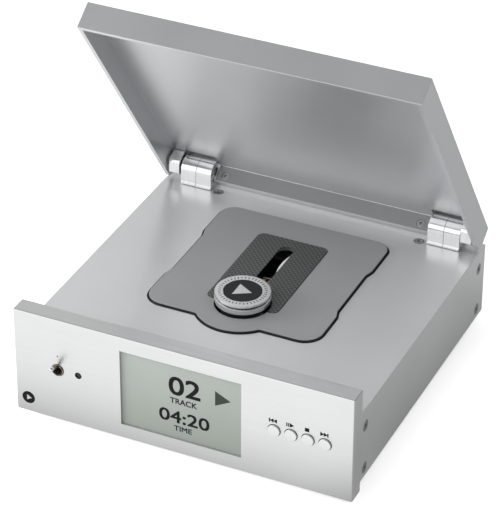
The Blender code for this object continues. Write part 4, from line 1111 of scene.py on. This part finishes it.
def turntable():
    """The hub under the clamp: a boss that centres the disc, its seat, a neck and a thin shaft."""
    low = HUB.low.z
    profile = [(0.0, 55.0), (5.4, 55.0), (6.6, 54.5), (7.2, 53.9), (7.2, 53.05), (8.4, 53.0), (14.1, 53.0),
               (14.4, 52.8), (14.4, 51.2), (14.1, 51.0), (7.0, 50.0), (7.0, 46.0), (1.5, 46.0),
               (1.5, low), (0.0, low)]
    hub = shade(turned("drive_hub", (0.0, SPINDLE.y, 0.0), profile, "Z", 96))
    finish(hub, BLACK, "turntable", "black_plastic", "turntable_hub")


# ---- pieces that keep their CAD shape ----
LOOK_OF_SLOT = {"silver_aluminium": CASE_METAL, "polished_aluminium": HINGE_METAL,
                "grey_anodised": DRIVE_METAL, "carbon_weave": CARBON, "black_plastic": BLACK,
                "black_rubber": RUBBER, "zinc_steel": ZINC, "white_nylon": NYLON, "green_board": BOARD,
                "display_glass": DISPLAY, "laser_lens": LENS, "gold_contacts": GOLD,
                "puck_disc": PUCK_DISC}


def dress_nodes():
    """Gives every CAD node its finish by the name of the material it was packed with."""
    for node in frame["nodes"].values():
        for material_slot in node.material_slots:
            plain = material_slot.material.name.split(".")[0]
            material_slot.material = LOOK_OF_SLOT[plain]


# ---- floor, light and camera ----
# Lengths are in metres from here on, and angles in degrees.  The lens is in millimetres.
FLOOR_GLOW = 0.5
FLOOR_HALF = 6.0
CARD_HALF = 3.0
CARD_DROP = 0.001  # below the floor
CARD_LIGHT = 1.0  # to the left and in front
# painted shade: the card's light drops behind the object on the left, where the lid's shade falls
CARD_REAR_PAINTED_SHADE = 0.85  # to the left and behind
CARD_DARK = 0.42  # to the right
# painted shadow: the card's light is cut right beside the object
CARD_NEAR_PAINTED_SHADOW = 0.50  # share of the card's light left right beside the object
CARD_CLEAR = 0.100  # from the middle to where the light starts to come back
CARD_REACH = 0.05  # over which the full light comes back
# brightness against height of direction, 0 level and 1 straight up
TENT_FRONT = [(0.0, 1.3), (0.6, 1.3), (0.78, 0.42), (0.88, 0.13)]
TENT_REAR = [(0.0, 0.9), (0.3, 0.74), (0.6, 0.58), (0.9, 0.4)]
TENT_SIDEWAYS = (1.0, 0.25, -0.1, 0.6)
KEY_WATTS = 21.0
FILL_WATTS = 2.5
RIGHT_WATTS = 1.2
CAMERA_PLACE = (0.52594, -1.152709, 0.88777)
CAMERA_YAW = 24.70
CAMERA_PITCH = 32.85
CAMERA_ROLL = 0.30
CAMERA_LENS = 179.36


def sheet_on_ground(name, half, level):
    mesh = bpy.data.meshes.new(name)
    corners = [(-half, -half, level), (half, -half, level), (half, half, level), (-half, half, level)]
    mesh.from_pydata(corners, [], [(0, 1, 2, 3)])
    return link(name, mesh)


def floor():
    """A pale floor, and just under it a glowing card that only bounces and reflections see; the card's light
    is cut beside the object as a painted shadow, and towards the rear on the left as painted shade of the
    object and lid.
    """
    look = Look("pale_floor", (0.93, 0.93, 0.93), 0.9, 0.0, Specular_IOR_Level=0.0)
    grain = look.noise(3.0, 2.0)
    look.color(look.mix(look.spread(grain, 0.0, 1.0), (0.925, 0.925, 0.925), (0.94, 0.94, 0.94)))
    look.shader.inputs["Emission Color"].default_value = (1.0, 1.0, 1.0, 1.0)
    look.shader.inputs["Emission Strength"].default_value = FLOOR_GLOW
    ground = sheet_on_ground("floor", FLOOR_HALF, 0.0)
    ground.data.materials.append(look.material)
    ground.visible_glossy = False
    ground.visible_diffuse = False
    ground.visible_shadow = False
    glow = Look("card", (0.0, 0.0, 0.0), 0.9, 0.0, Specular_IOR_Level=0.0)
    place = glow.parts(glow.coordinates)
    sideways = glow.math("ADD", place["X"], glow.math("MULTIPLY", place["Y"], 0.35))
    away_x = glow.math("SUBTRACT", glow.math("ABSOLUTE", place["X"]), CARD_CLEAR)
    away_y = glow.math("SUBTRACT", glow.math("ABSOLUTE", place["Y"]), CARD_CLEAR)
    away = glow.math("MAXIMUM", away_x, away_y)
    # painted shadow round the object's footprint
    dim = glow.spread(away, CARD_NEAR_PAINTED_SHADOW, 1.0, 0.0, CARD_REACH)
    left = glow.spread(place["Y"], CARD_LIGHT, CARD_REAR_PAINTED_SHADE, -0.12, 0.05)
    right = glow.spread(place["Y"], CARD_DARK, CARD_DARK + 0.08, 0.0, 0.1)
    rightness = glow.spread(sideways, 0.0, 1.0, 0.03, 0.10)
    change = glow.math("SUBTRACT", right, left)
    level = glow.math("MULTIPLY", glow.math("MULTIPLY_ADD", change, rightness, left), dim)
    tint = glow.mix(level, (0.0, 0.0, 0.0), (1.0, 1.0, 1.0))
    glow.join(tint, glow.shader.inputs["Emission Color"])
    glow.shader.inputs["Emission Strength"].default_value = 1.0
    card = sheet_on_ground("card", CARD_HALF, -CARD_DROP)
    card.data.materials.append(glow.material)
    card.visible_camera = False
    card.visible_shadow = False


def world():
    """A tent: bright round the horizon, a dim ceiling that comes lower in front, dimmer to the right."""
    made = bpy.data.worlds.new("tent")
    bpy.context.scene.world = made
    made.use_nodes = True
    tent = Nodes(made.node_tree)
    tent.tree.nodes.clear()
    way = tent.parts(tent.node("TexCoord").outputs["Generated"])

    def ramp(levels):
        upward = tent.node("ValToRGB")
        tent.join(way["Z"], upward.inputs["Fac"])
        stops = upward.color_ramp.elements
        for place, _ in levels[2:]:
            stops.new(place)
        for stop, (place, level) in zip(stops, levels):
            stop.position = place
            stop.color = (level, level, level, 1.0)
        return upward.outputs["Color"]

    rearward = tent.spread(way["Y"], 0.0, 1.0, -0.3, 0.3)
    around = tent.mix(rearward, ramp(TENT_FRONT), ramp(TENT_REAR))
    light = tent.mix(1.0, around, tent.spread(way["X"], *TENT_SIDEWAYS), "MULTIPLY")
    background = tent.node("Background")
    tent.join(light, background.inputs["Color"])
    tent.join(background.outputs["Background"], tent.node("OutputWorld").inputs["Surface"])


def area_light(name, place, target, size, watts):
    """A round soft light that no reflection shows."""
    data = bpy.data.lights.new(name, "AREA")
    data.shape = "DISK"
    data.size = size
    data.energy = watts
    lamp = link(name, data)
    lamp.location = place
    lamp.rotation_euler = (Vector(target) - Vector(place)).to_track_quat("-Z", "Y").to_euler()
    lamp.visible_glossy = False
    lamp.visible_camera = False


def lights():
    area_light("key", (-0.7, -1.2, 2.2), (0.0, 0.0, 0.05), 1.6, KEY_WATTS)
    area_light("fill", (-0.45, -0.2, 0.16), (-0.05, 0.02, 0.1), 0.3, FILL_WATTS)
    area_light("right_fill", (0.40, -0.05, 0.55), (0.04, 0.03, 0.06), 0.4, RIGHT_WATTS)


def camera():
    data = bpy.data.cameras.new("camera")
    data.lens = CAMERA_LENS
    data.clip_start = 0.05
    data.clip_end = 30.0
    eye = link("camera", data)
    yaw = math.radians(CAMERA_YAW)
    pitch = math.radians(CAMERA_PITCH)
    roll = math.radians(CAMERA_ROLL)
    right = Vector((math.cos(yaw), math.sin(yaw), 0.0))
    ahead = Vector((-math.sin(yaw) * math.cos(pitch), math.cos(yaw) * math.cos(pitch), -math.sin(pitch)))
    up = right.cross(ahead)
    tilted_right = right * math.cos(roll) + up * math.sin(roll)
    tilted_up = up * math.cos(roll) - right * math.sin(roll)
    turn = Matrix((tilted_right, tilted_up, -ahead)).transposed().to_4x4()
    eye.matrix_world = Matrix.Translation(CAMERA_PLACE) @ turn
    bpy.context.scene.camera = eye


camera()
world()
lights()
floor()
dress_nodes()
front_panel()
button_symbols()
display()
buttons()
power_switch()
case_cover()
posts_and_screws()
feet()
lid_shell()
hinges()
drive_top()
puck()
turntable()
lens_coils()

view_settings = bpy.context.scene.view_settings
view_settings.view_transform = "Standard"
view_settings.look = "None"
